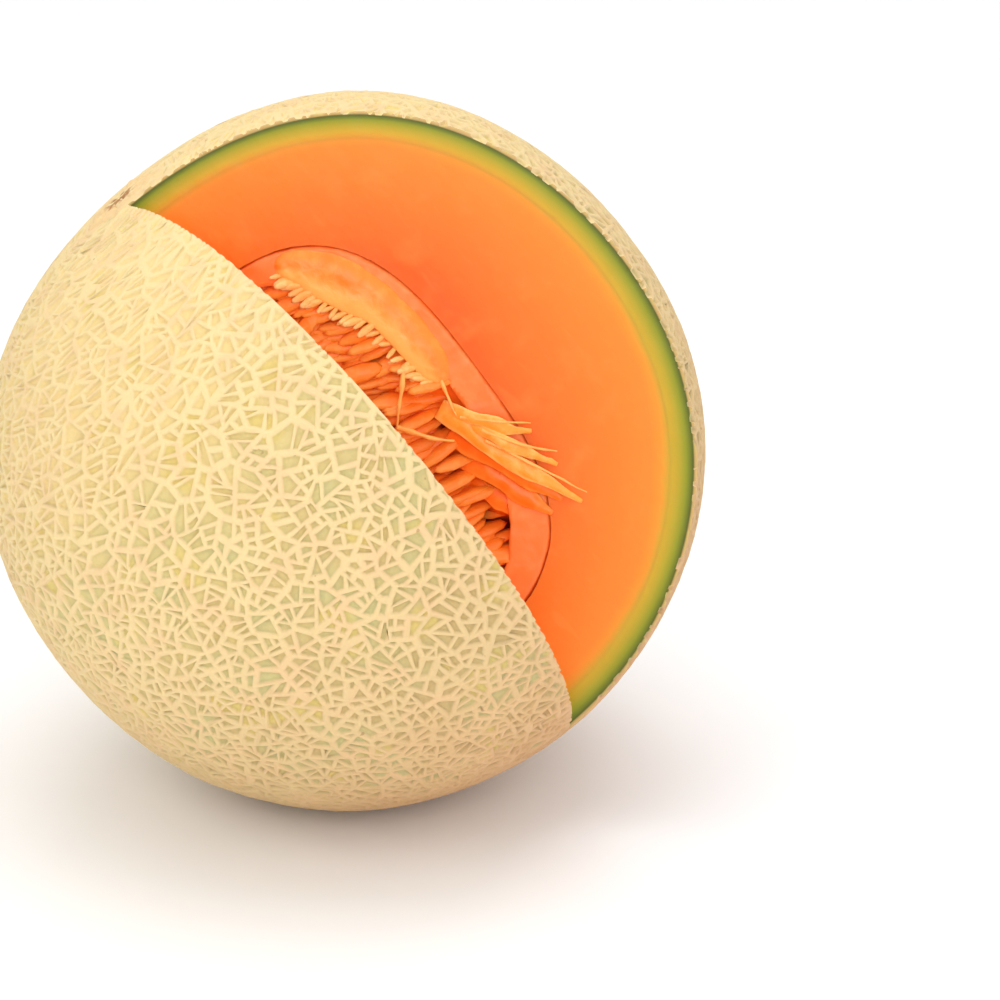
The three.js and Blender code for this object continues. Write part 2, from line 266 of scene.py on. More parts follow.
class Bench:
    """Hand tools: selecting, edit mode, modifiers and booleans through Blender's operators."""

    @staticmethod
    def clear() -> None:
        """Leaves edit mode and deselects everything."""
        if bpy.context.mode != "OBJECT":
            bpy.ops.object.mode_set(mode="OBJECT")
        bpy.ops.object.select_all(action="DESELECT")

    @classmethod
    def hold(cls, piece: bpy.types.Object) -> bpy.types.Object:
        """Makes a piece the only one selected and active.

        Args:
            piece: The piece to work on.

        Returns:
            The same piece.
        """
        cls.clear()
        piece.select_set(True)
        bpy.context.view_layer.objects.active = piece
        return piece

    @classmethod
    def edit(cls, piece: bpy.types.Object, kind: str = "FACE", action: str = "SELECT") -> None:
        """Opens a piece in edit mode with all or nothing selected.

        Args:
            piece: The piece to work on.
            kind: VERT, EDGE or FACE select mode.
            action: SELECT or DESELECT.
        """
        cls.hold(piece)
        bpy.ops.object.mode_set(mode="EDIT")
        bpy.ops.mesh.select_mode(type=kind)
        bpy.ops.mesh.select_all(action=action)

    @staticmethod
    def done() -> None:
        """Goes back to object mode."""
        bpy.ops.object.mode_set(mode="OBJECT")

    @classmethod
    def sphere(cls, name: str, segments: int, rings: int) -> bpy.types.Object:
        """Adds a unit sphere at the origin.

        Args:
            name: The piece's name.
            segments: Faces round it.
            rings: Faces from pole to pole.

        Returns:
            The new piece.
        """
        cls.clear()
        bpy.ops.mesh.primitive_uv_sphere_add(segments=segments, ring_count=rings, radius=1.0)
        return cls.named(name)

    @classmethod
    def grid(cls, name: str, along: int, across: int) -> bpy.types.Object:
        """Adds a unit grid whose X and Y run from nought to one.

        Args:
            name: The piece's name.
            along: Faces along X.
            across: Faces along Y.

        Returns:
            The new piece.
        """
        cls.clear()
        bpy.ops.mesh.primitive_grid_add(
            x_subdivisions=along, y_subdivisions=across, size=1.0, location=(0.5, 0.5, 0.0)
        )
        bpy.ops.object.transform_apply(location=True, rotation=True, scale=True)
        return cls.named(name)

    @classmethod
    def loose(
        cls, name: str, points: np.ndarray, faces: Sequence[Sequence[int]] = ()
    ) -> bpy.types.Object:
        """Makes a piece of given points and faces.

        Args:
            name: The piece's name.
            points: One point per row.
            faces: The corners of each face.

        Returns:
            The new piece.
        """
        mesh = bpy.data.meshes.new(name)
        mesh.from_pydata([tuple(p) for p in points], [], faces)
        piece = bpy.data.objects.new(name, mesh)
        bpy.context.scene.collection.objects.link(piece)
        return cls.hold(piece)

    @classmethod
    def apply(cls, piece: bpy.types.Object, kind: str, **settings: object) -> None:
        """Adds a modifier and applies it at once.

        Args:
            piece: The piece to change.
            kind: Blender's modifier type.
            **settings: The modifier's settings.
        """
        cls.hold(piece)
        modifier = piece.modifiers.new(kind.lower(), kind)
        for key, value in settings.items():
            setattr(modifier, key, value)
        bpy.ops.object.modifier_apply(modifier=modifier.name)

    @classmethod
    def cut(cls, piece: bpy.types.Object, tool: bpy.types.Object) -> None:
        """Cuts a tool out of a piece and throws the tool away.

        Args:
            piece: The piece to cut.
            tool: The cutting piece.
        """
        cls.apply(piece, "BOOLEAN", object=tool, operation="DIFFERENCE", solver="MANIFOLD")
        cls.drop(tool)

    @staticmethod
    def drop(piece: bpy.types.Object) -> None:
        """Removes a piece and its mesh.

        Args:
            piece: The piece to remove.
        """
        mesh = piece.data
        bpy.data.objects.remove(piece)
        bpy.data.meshes.remove(mesh)

    @classmethod
    def join(cls, name: str, pieces: Sequence[bpy.types.Object]) -> bpy.types.Object:
        """Joins pieces into one.

        Args:
            name: The joined piece's name.
            pieces: The pieces to join.

        Returns:
            The joined piece.
        """
        cls.hold(pieces[0])
        for piece in pieces:
            piece.select_set(True)
        bpy.ops.object.join()
        return cls.named(name)

    @classmethod
    def smooth(cls, piece: bpy.types.Object, angle: float = 180.0) -> None:
        """Shades a piece smooth where its faces meet under an angle.

        Args:
            piece: The piece to shade.
            angle: The largest angle that still shades smooth, in degrees.
        """
        cls.hold(piece)
        bpy.ops.object.shade_smooth_by_angle(angle=math.radians(angle))

    @staticmethod
    def coords(piece: bpy.types.Object, what: str = "co") -> np.ndarray:
        """Reads a piece's points, or the normals there.

        Args:
            piece: The piece to read.
            what: Blender's name for them, co or normal.

        Returns:
            One row per point.
        """
        flat = np.zeros(len(piece.data.vertices) * 3, np.float32)
        piece.data.vertices.foreach_get(what, flat)
        return flat.reshape(-1, 3).astype(float)

    @staticmethod
    def move(piece: bpy.types.Object, points: np.ndarray) -> None:
        """Sets a piece's points.

        Args:
            piece: The piece to reshape.
            points: One point per row.
        """
        piece.data.vertices.foreach_set("co", np.asarray(points, np.float32).ravel())
        piece.data.update()

    @staticmethod
    def mark(piece: bpy.types.Object, name: str, values: np.ndarray) -> None:
        """Stores one number per point as an attribute.

        Args:
            piece: The piece to mark.
            name: The attribute's name.
            values: One value per point.
        """
        layers = piece.data.attributes
        layer = layers.get(name) or layers.new(name, "FLOAT", "POINT")
        layer.data.foreach_set("value", np.asarray(values, np.float32))

    @staticmethod
    def marks(piece: bpy.types.Object, name: str) -> np.ndarray:
        """Reads the numbers of an attribute.

        Args:
            piece: The piece to read.
            name: The attribute's name.

        Returns:
            One number per point.
        """
        values = np.zeros(len(piece.data.vertices), np.float32)
        piece.data.attributes[name].data.foreach_get("value", values)
        return values.astype(float)

    @classmethod
    def outward(cls, piece: bpy.types.Object) -> None:
        """Turns all of a closed piece's faces outward.

        Args:
            piece: The piece to change.
        """
        cls.edit(piece)
        bpy.ops.mesh.normals_make_consistent(inside=False)
        cls.done()

    @classmethod
    def crease_borders(cls, piece: bpy.types.Object, slot: int) -> None:
        """Keeps a sharp edge round the faces of one material and shades the rest smooth.

        Args:
            piece: The piece to shade.
            slot: The number of the material.
        """
        cls.smooth(piece)
        cls.edit(piece, "FACE", "DESELECT")
        piece.active_material_index = slot
        bpy.ops.object.material_slot_select()
        bpy.ops.mesh.region_to_loop()
        bpy.ops.mesh.mark_sharp()
        cls.done()

    @classmethod
    def dual(cls, piece: bpy.types.Object) -> None:
        """Swaps a mesh's faces and points.

        Args:
            piece: The piece to change.
        """
        tree = bpy.data.node_groups.new("cell_borders", "GeometryNodeTree")
        for way in ("INPUT", "OUTPUT"):
            tree.interface.new_socket("Geometry", in_out=way, socket_type="NodeSocketGeometry")
        start, end = tree.nodes.new("NodeGroupInput"), tree.nodes.new("NodeGroupOutput")
        swap = tree.nodes.new("GeometryNodeDualMesh")
        tree.links.new(start.outputs[0], swap.inputs[0])
        tree.links.new(swap.outputs[0], end.inputs[0])
        cls.apply(piece, "NODES", node_group=tree)
        bpy.data.node_groups.remove(tree)

    @staticmethod
    def named(name: str) -> bpy.types.Object:
        """Names the active piece and its mesh.

        Args:
            name: The name for both.

        Returns:
            The piece.
        """
        piece = bpy.context.view_layer.objects.active
        piece.name = name
        piece.data.name = name
        return piece

    @staticmethod
    def dress(piece: bpy.types.Object, *materials: bpy.types.Material) -> bpy.types.Object:
        """Gives a piece its materials.

        Args:
            piece: The piece to dress.
            materials: Its materials, in the order of its slots.

        Returns:
            The same piece.
        """
        piece.data.materials.clear()
        for material in materials:
            piece.data.materials.append(material)
        return piece

    @staticmethod
    def fit(piece: bpy.types.Object, slot: str, *nodes: str) -> bpy.types.Object:
        """Rides a piece on the body, hides the solids it stands for, and logs it.

        Args:
            piece: The finished piece.
            slot: The record's material slot. Not used.
            *nodes: The nodes that it replaces.

        Returns:
            The same piece.
        """
        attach(piece, "root")
        if nodes:
            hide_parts(*nodes)
        LOG.info("%s: %d points, %d faces", piece.name, len(piece.data.vertices), len(piece.data.polygons))
        return piece


class Ink:
    """A socket in a material's maths: expressions on it add Math nodes."""

    def __init__(self, paint: "Paint", socket: bpy.types.NodeSocket) -> None:
        """Wraps a socket of a paint's node tree."""
        self.paint = paint
        self.socket = socket

    def __add__(self, other: "Ink | Number") -> "Ink":
        """Adds."""
        return self.paint.math("ADD", self, other)

    def __radd__(self, other: Number) -> "Ink":
        """Adds."""
        return self.paint.math("ADD", other, self)

    def __sub__(self, other: "Ink | Number") -> "Ink":
        """Subtracts."""
        return self.paint.math("SUBTRACT", self, other)

    def __rsub__(self, other: Number) -> "Ink":
        """Subtracts from a number."""
        return self.paint.math("SUBTRACT", other, self)

    def __mul__(self, other: "Ink | Number") -> "Ink":
        """Multiplies."""
        return self.paint.math("MULTIPLY", self, other)

    def __rmul__(self, other: Number) -> "Ink":
        """Multiplies."""
        return self.paint.math("MULTIPLY", other, self)

    def __truediv__(self, other: "Ink | Number") -> "Ink":
        """Divides."""
        return self.paint.math("DIVIDE", self, other)


class Paint:
    """A material under construction."""

    def __init__(self, name: str, fruit: Fruit) -> None:
        """Starts an empty material on the fruit's own frame.

        Args:
            name: The material's name.
            fruit: The fruit whose frame it follows.
        """
        self.material = bpy.data.materials.new(name)
        self.material.use_nodes = True
        self.tree = self.material.node_tree
        self.tree.nodes.clear()
        self.fruit = fruit
        coord = self.out(self.node("ShaderNodeTexCoord"), "Object")
        inputs = {"Vector": coord, "Location": fruit.centre, "Rotation": (0.0, -fruit.lean, 0.0)}
        self.place = self.out(self.node("ShaderNodeMapping", {"vector_type": "TEXTURE"}, inputs))

    def node(
        self,
        kind: str,
        settings: dict[str, object] | None = None,
        inputs: dict[object, object] | None = None,
    ) -> bpy.types.Node:
        """Adds any node.

        Args:
            kind: The node's type.
            settings: Its properties; a ramp's stops are pairs of place and colour.
            inputs: Values or links by socket name or number.

        Returns:
            The node.
        """
        made = self.tree.nodes.new(kind)
        for key, value in (settings or {}).items():
            if key == "stops":
                self._set_stops(made, value)
            else:
                setattr(made, key, value)
        for key, value in (inputs or {}).items():
            if isinstance(value, Ink):
                self.tree.links.new(value.socket, made.inputs[key])
            else:
                made.inputs[key].default_value = value
        return made

    def out(self, node: bpy.types.Node, name: object = 0) -> Ink:
        """Wraps one of a node's outputs."""
        return Ink(self, node.outputs[name])

    def math(self, operation: str, *values: "Ink | Number") -> Ink:
        """Adds a Math node.

        Args:
            operation: The node's operation.
            *values: Its inputs.

        Returns:
            The node's result.
        """
        return self.out(self.node("ShaderNodeMath", {"operation": operation}, dict(enumerate(values))))

    def step(self, value: Ink, low: float, high: float) -> Ink:
        """Gives a smooth step from nought at low to one at high."""
        inputs = {"Value": value, "From Min": low, "From Max": high}
        return self.out(self.node("ShaderNodeMapRange", {"interpolation_type": "SMOOTHSTEP"}, inputs))

    def mix(self, factor: "Ink | Number", first: object, second: object) -> Ink:
        """Mixes two colours.

        Args:
            factor: Share of the second colour.
            first: Colour or link.
            second: Colour or link.

        Returns:
            The mixed colour.
        """
        node = self.node("ShaderNodeMix", {"data_type": "RGBA"}, {0: factor, 6: first, 7: second})
        return self.out(node, 2)

    def ramp(self, value: Ink, stops: Sequence[tuple[float, Colour]]) -> Ink:
        """Colours a value by a ramp of places and screen colours."""
        shades = [(place, linear(*colour)) for place, colour in stops]
        return self.out(self.node("ShaderNodeValToRGB", {"stops": shades}, {"Fac": value}), "Color")

    def clouds(
        self,
        scale: float,
        detail: float = 2.0,
        roughness: float = 0.5,
        lace: float = 0.0,
        stretch: Colour = (1, 1, 1),
    ) -> Ink:
        """Gives fractal noise from nought to one.

        Args:
            scale: Lumps per metre.
            detail: Octaves.
            roughness: Strength of the finer octaves.
            lace: Distortion.
            stretch: Scale along the fruit's axes.

        Returns:
            The noise value.
        """
        vector = self.place
        if tuple(stretch) != (1, 1, 1):
            vector = self.out(self.node("ShaderNodeMapping", None, {"Vector": vector, "Scale": stretch}))
        inputs = {"Vector": vector, "Scale": scale, "Detail": detail}
        inputs |= {"Roughness": roughness, "Distortion": lace}
        return self.out(self.node("ShaderNodeTexNoise", None, inputs), "Fac")

    def attribute(self, name: str) -> Ink:
        """Reads one of the piece's own attributes."""
        return self.out(self.node("ShaderNodeAttribute", {"attribute_name": name}), "Fac")

    def polar_and_depth(self) -> tuple[Ink, Ink]:
        """Gives the cosine of the angle from the stem end, and the depth under the outline in millimetres.

        Returns:
            The cosine and the depth.
        """
        length = self.node("ShaderNodeVectorMath", {"operation": "LENGTH"}, {0: self.place})
        radius = self.out(length, "Value")
        cosine = self.out(self.node("ShaderNodeSeparateXYZ", None, {0: self.place}), "Z") / radius
        square = cosine * cosine
        _, _, two, three, four, five = self.fruit.waves
        waves = (square * 2 - 1) * two
        waves = waves + cosine * (square * 4 - 3) * three
        waves = waves + (square * (square * 8 - 8) + 1) * four
        waves = waves + cosine * (square * (square * 16 - 20) + 5) * five
        return cosine, ((waves + 1) * self.fruit.girth_radius - radius) * 1000

    def bump(self, height: Ink, strength: float, distance: float, under: Ink | None = None) -> Ink:
        """Makes a bump from a height.

        Args:
            height: The height from nought to one.
            strength: How strong it is.
            distance: How high it stands, in metres.
            under: A bump to add to.

        Returns:
            The normal.
        """
        inputs: dict[object, object] = {"Strength": strength, "Distance": distance, "Height": height}
        if under is not None:
            inputs["Normal"] = under
        return self.out(self.node("ShaderNodeBump", None, inputs), "Normal")

    def finish(self, **inputs: object) -> bpy.types.Material:
        """Closes the material with a principled shader.

        Args:
            **inputs: Values or links by socket name, with underscores for spaces.

        Returns:
            The material.
        """
        named = {key.replace("_", " "): value for key, value in inputs.items()}
        shader = self.node("ShaderNodeBsdfPrincipled", None, named)
        self.node("ShaderNodeOutputMaterial", None, {"Surface": self.out(shader)})
        return self.material

    @staticmethod
    def _set_stops(node: bpy.types.Node, stops: Sequence[tuple[float, object]]) -> None:
        """Sets a ramp's stops.

        Args:
            node: The ramp's node.
            stops: Places from nought to one, each with its colour.
        """
        elements = node.color_ramp.elements
        while len(elements) < len(stops):
            elements.new(0.5)
        for element, (place, colour) in zip(elements, stops):
            element.position = place
            element.color = colour


@dataclass(frozen=True)
class RindFinish:
    """Cream net over pale green-yellow pits, plainer toward the stem and tanner and darker toward the
    blossom end; the tan is the rind's own, the darkening partly painted shade of the side turned from the
    light.
    """

    # Both ramps run from the stem end to the blossom end; their darkening toward the blossom end is partly
    # painted shade.
    strands: tuple[tuple[float, Colour], ...] = (
        (0.0, (235, 210, 153)),
        (0.45, (229, 203, 149)),
        (0.72, (220, 190, 138)),
        (0.95, (212, 166, 119)),
    )
    pits: tuple[tuple[float, Colour], ...] = (
        (0.0, (235, 207, 144)),
        (0.18, (231, 204, 140)),
        (0.34, (214, 193, 131)),
        (0.62, (202, 178, 121)),
        (0.95, (194, 157, 108)),
    )
    green: Colour = (196, 191, 134)
    yellow: Colour = (222, 198, 114)
    blotch: Colour = (230, 188, 142)
    speck: Colour = (158, 116, 72)

    def make(self, fruit: Fruit) -> bpy.types.Material:
        """Makes the rind's material.

        Args:
            fruit: The fruit's form.

        Returns:
            The material.
        """
        paint = Paint("netted_rind", fruit)
        cosine, _ = paint.polar_and_depth()
        along = 0.5 - cosine * 0.5 + (paint.clouds(45) - 0.5) * 0.16
        # The ramps darken toward the blossom end, partly as painted shade.
        strand = paint.ramp(along, self.strands)
        strand = paint.mix(paint.step(paint.clouds(160), 0.44, 0.68) * 0.4, strand, linear(*self.blotch))
        pit = paint.ramp(along, self.pits)
        green = paint.step(paint.clouds(70), 0.42, 0.66) * paint.step(along, 0.2, 0.42)
        pit = paint.mix(green * 0.7, pit, linear(*self.green))
        pit = paint.mix(paint.step(paint.clouds(95, 1), 0.57, 0.68) * 0.65, pit, linear(*self.yellow))
        frayed = paint.attribute("pit") + (paint.clouds(700) - 0.5) * 0.3
        mask = paint.step(frayed, 0.3, 0.9)
        colour = paint.mix(mask, strand, pit)
        specks = paint.step(paint.clouds(520, 1), 0.775, 0.82)
        colour = paint.mix(specks * 0.5, colour, linear(*self.speck))
        normal = paint.bump(paint.clouds(1300, 3, 0.6), 0.4, 0.0005)
        return paint.finish(
            Base_Color=colour,
            Roughness=0.74 - mask * 0.18,
            Normal=normal,
            Subsurface_Weight=0.1,
            Subsurface_Radius=(0.9, 0.6, 0.25),
            Subsurface_Scale=0.0015,
            Specular_IOR_Level=0.35,
        )


@dataclass(frozen=True)
class FleshFinish:
    """Moist flesh that shades inward from cork and dark skin through green and yellow to orange."""

    stops: tuple[tuple[float, Colour], ...] = (
        (0.0, (200, 170, 116)),
        (0.55, (184, 158, 94)),
        (0.8, (78, 88, 14)),
        (1.3, (104, 116, 16)),
        (2.2, (142, 148, 26)),
        (3.4, (176, 160, 34)),
        (5.2, (210, 166, 40)),
        (6.9, (238, 150, 40)),
        (8.9, (250, 138, 38)),
        (20.0, (250, 126, 30)),
        (31.0, (249, 113, 22)),
        (37.0, (247, 101, 16)),
    )
    pale: Colour = (255, 158, 70)
    reach: float = 40.0
    top_thinning: float = 0.25

    def make(self, fruit: Fruit) -> bpy.types.Material:
        """Makes the flesh's material.

        Args:
            fruit: The fruit's form.

        Returns:
            The material.
        """
        paint = Paint("melon_flesh", fruit)
        cosine, depth = paint.polar_and_depth()
        grain = paint.clouds(420, 4, 0.6, stretch=(1, 1, 0.35))
        drift = (paint.clouds(38) - 0.5) * 2.6 * paint.step(depth, 1.2, 8.0)
        upper = paint.step(cosine, -0.1, 0.6) * paint.step(depth, 0.8, 2.0)
        thinned = depth * (upper * self.top_thinning + 1.0)
        wander = thinned + drift + (grain - 0.5) * 1.1 * paint.step(depth, 1.5, 6.0)
        colour = paint.ramp(wander / self.reach, [(d / self.reach, c) for d, c in self.stops])
        cloudy = paint.clouds(120, 3, 0.55)
        inner = paint.step(depth, 8.0, 14.0)
        colour = paint.mix(paint.step(cloudy, 0.5, 0.8) * inner * 0.3, colour, linear(*self.pale))
        fibre = paint.step(paint.clouds(260, 2, 0.5, 0.6, (1, 1, 0.2)), 0.62, 0.74)
        colour = paint.mix(fibre * inner * 0.2, colour, linear(*self.pale))
        normal = paint.bump(grain, 0.2, 0.0003)
        normal = paint.bump(cloudy, 0.25, 0.0009, normal)
        return paint.finish(
            Base_Color=colour,
            Roughness=0.3 + grain * 0.22,
            Normal=normal,
            Subsurface_Weight=0.35,
            Subsurface_Radius=(1.0, 0.38, 0.12),
            Subsurface_Scale=0.006,
            Specular_IOR_Level=0.3,
        )


@dataclass(frozen=True)
class PulpFinish:
    """Wet stringy pulp, a base colour with paler and deeper streaks, and a second colour where each piece
    marks it: at tips and edges, and as painted shade deep in the cavity and in the gaps between seeds.
    """

    name: str
    base: Colour
    pale: Colour
    deep: Colour
    tip_and_painted_shade: Colour
    scale: float = 300.0
    rough: float = 0.28
    glow: float = 0.06

    def make(self, fruit: Fruit) -> bpy.types.Material:
        """Makes the pulp's material.

        Args:
            fruit: The fruit's form.

        Returns:
            The material.
        """
        paint = Paint(self.name, fruit)
        streaks = paint.clouds(self.scale, 3, 0.55, 0.4)
        lumps = paint.clouds(130)
        colour = paint.mix(paint.step(streaks, 0.44, 0.7), linear(*self.base), linear(*self.pale))
        colour = paint.mix(paint.step(lumps, 0.46, 0.74) * 0.8, colour, linear(*self.deep))
        # The second colour marks tips and edges on most pieces; on the lining and the backing it is painted
        # shade.
        ends = paint.attribute("tip_and_painted_shade") + (streaks - 0.5) * 0.3
        colour = paint.mix(paint.step(ends, 0.15, 0.95), colour, linear(*self.tip_and_painted_shade))
        normal = paint.bump(streaks, 0.4, 0.0006)
        return paint.finish(
            Base_Color=colour,
            Roughness=streaks * 0.15 + self.rough,
            Normal=normal,
            Subsurface_Weight=self.glow,
            Subsurface_Radius=(1.0, 0.45, 0.18),
            Subsurface_Scale=0.003,
            Specular_IOR_Level=0.35,
        )


class Pulp(Enum):
    """The pulps of the seed cavity, each with its finish."""

    # The wall pulp's last colour, a deeper orange, is painted shade further in behind the cut faces.
    WALL = PulpFinish(
        "wall_pulp", (255, 130, 56), (255, 144, 72), (255, 120, 42), (255, 114, 26), scale=160.0
    )
    # The deep pulp's last colour, a dark maroon, is painted shade in the gaps between seeds on the backing.
    DEEP = PulpFinish(
        "deep_pulp", (255, 122, 26), (255, 138, 44), (252, 108, 16), (112, 34, 12), scale=260.0
    )
    COAT = PulpFinish(
        "coated_seed", (255, 138, 40), (255, 152, 58), (255, 126, 30), (255, 166, 74), scale=420.0, glow=0.0
    )
    LOBE = PulpFinish(
        "lobe_pulp", (252, 142, 48), (254, 156, 66), (250, 130, 38), (255, 194, 102), scale=340.0
    )
    FRINGE = PulpFinish(
        "fringe_pulp", (255, 184, 92), (255, 194, 108), (255, 172, 78), (255, 222, 146), scale=500.0
    )
    TORN = PulpFinish(
        "torn_pulp", (255, 166, 58), (255, 186, 90), (255, 148, 40), (255, 204, 112), scale=340.0
    )
    CURTAIN = PulpFinish(
        "curtain_pulp", (255, 122, 28), (255, 138, 46), (255, 112, 20), (255, 150, 56), scale=200.0
    )

    def make(self, fruit: Fruit) -> bpy.types.Material:
        """Makes the pulp's material."""
        return self.value.make(fruit)


@dataclass(frozen=True)
class CorkFinish:
    """Dry cork of the stem scar, tan with brown cracks and fibres."""

    tan: Colour = (234, 200, 146)
    brown: Colour = (164, 112, 68)
    pale: Colour = (240, 212, 162)

    def make(self, fruit: Fruit) -> bpy.types.Material:
        """Makes the scar's material.

        Args:
            fruit: The fruit's form.

        Returns:
            The material.
        """
        paint = Paint("stem_cork", fruit)
        grain = paint.clouds(900, 4, 0.65)
        patch = paint.clouds(260, 3, 0.5, 0.8)
        middle = paint.step(paint.attribute("tip_and_painted_shade") + (patch - 0.5) * 0.5, 0.35, 0.75)
        colour = paint.mix(middle * 0.85, linear(*self.tan), linear(*self.brown))
        colour = paint.mix(paint.step(grain, 0.52, 0.72) * 0.7, colour, linear(*self.pale))
        normal = paint.bump(grain, 0.7, 0.0006)
        return paint.finish(Base_Color=colour, Roughness=0.88, Normal=normal, Specular_IOR_Level=0.2)


@dataclass(frozen=True)
class FloorFinish:
    """Plain pale studio floor."""

    pale: Colour = (252, 252, 253)
    dull: Colour = (249, 249, 251)

    def make(self, fruit: Fruit) -> bpy.types.Material:
        """Makes the floor's material.

        Args:
            fruit: The fruit that stands on it.

        Returns:
            The material.
        """
        paint = Paint("pale_floor", fruit)
        colour = paint.mix(paint.clouds(40), linear(*self.pale), linear(*self.dull))
        return paint.finish(Base_Color=colour, Roughness=0.6, Specular_IOR_Level=0.2)


@dataclass(frozen=True)
class Tools:
    """Cutting tools and round forms shaped by the fruit."""

    fruit: Fruit

    def wedge(self) -> bpy.types.Object:
        """Makes the prism that cuts the wedge away.

        Returns:
            The tool, placed in the row frame.
        """
        reach = 3 * self.fruit.girth_radius
        corners = np.array(
            [[0.0, 0.0]] + [[reach * math.cos(f.value), reach * math.sin(f.value)] for f in CutFace]
        ) + np.array(self.fruit.cut_edge)
        Bench.clear()
        bpy.ops.mesh.primitive_cylinder_add(vertices=3, radius=1.0, depth=2.0)
        tool = Bench.named("wedge_tool")
        points = Bench.coords(tool)
        turns = np.round(np.arctan2(points[:, 1], points[:, 0]), 3)
        order = np.unique(turns, return_inverse=True)[1]
        shaped = np.column_stack([corners[order], points[:, 2] * reach])
        Bench.move(tool, self.fruit.place(shaped @ self.fruit.edge_turn().T))
        Bench.outward(tool)
        return tool

    def round(
        self, name: str, segments: int, rings: int, radius: Callable[[np.ndarray], np.ndarray]
    ) -> bpy.types.Object:
        """Makes a closed round form about the fruit's centre.

        Args:
            name: The piece's name.
            segments: Faces round it.
            rings: Faces from pole to pole.
            radius: Gives the radius in each direction.

        Returns:
            The form, placed in the row frame.
        """
        piece = Bench.sphere(name, segments, rings)
        directions = units(Bench.coords(piece))
        Bench.move(piece, self.fruit.place(directions * radius(directions)[:, None]))
        return piece

    def egg(
        self, name: str, centre: Sequence[float], radii: Sequence[float], segments: int = 32
    ) -> bpy.types.Object:
        """Makes an egg-shaped tool.

        Args:
            name: The piece's name.
            centre: Its centre in the fruit's frame.
            radii: Its half sizes.
            segments: Faces round it.

        Returns:
            The tool, placed in the row frame.
        """
        piece = Bench.sphere(name, segments, segments // 2)
        points = Bench.coords(piece) * np.array(radii) + np.array(centre)
        Bench.move(piece, self.fruit.place(points))
        return piece


@dataclass
class Cell:
    """One cell of the net: its corners in turn, and the strand that runs from each to the next."""

    corners: list[int]
    strands: list[int]
    level: int


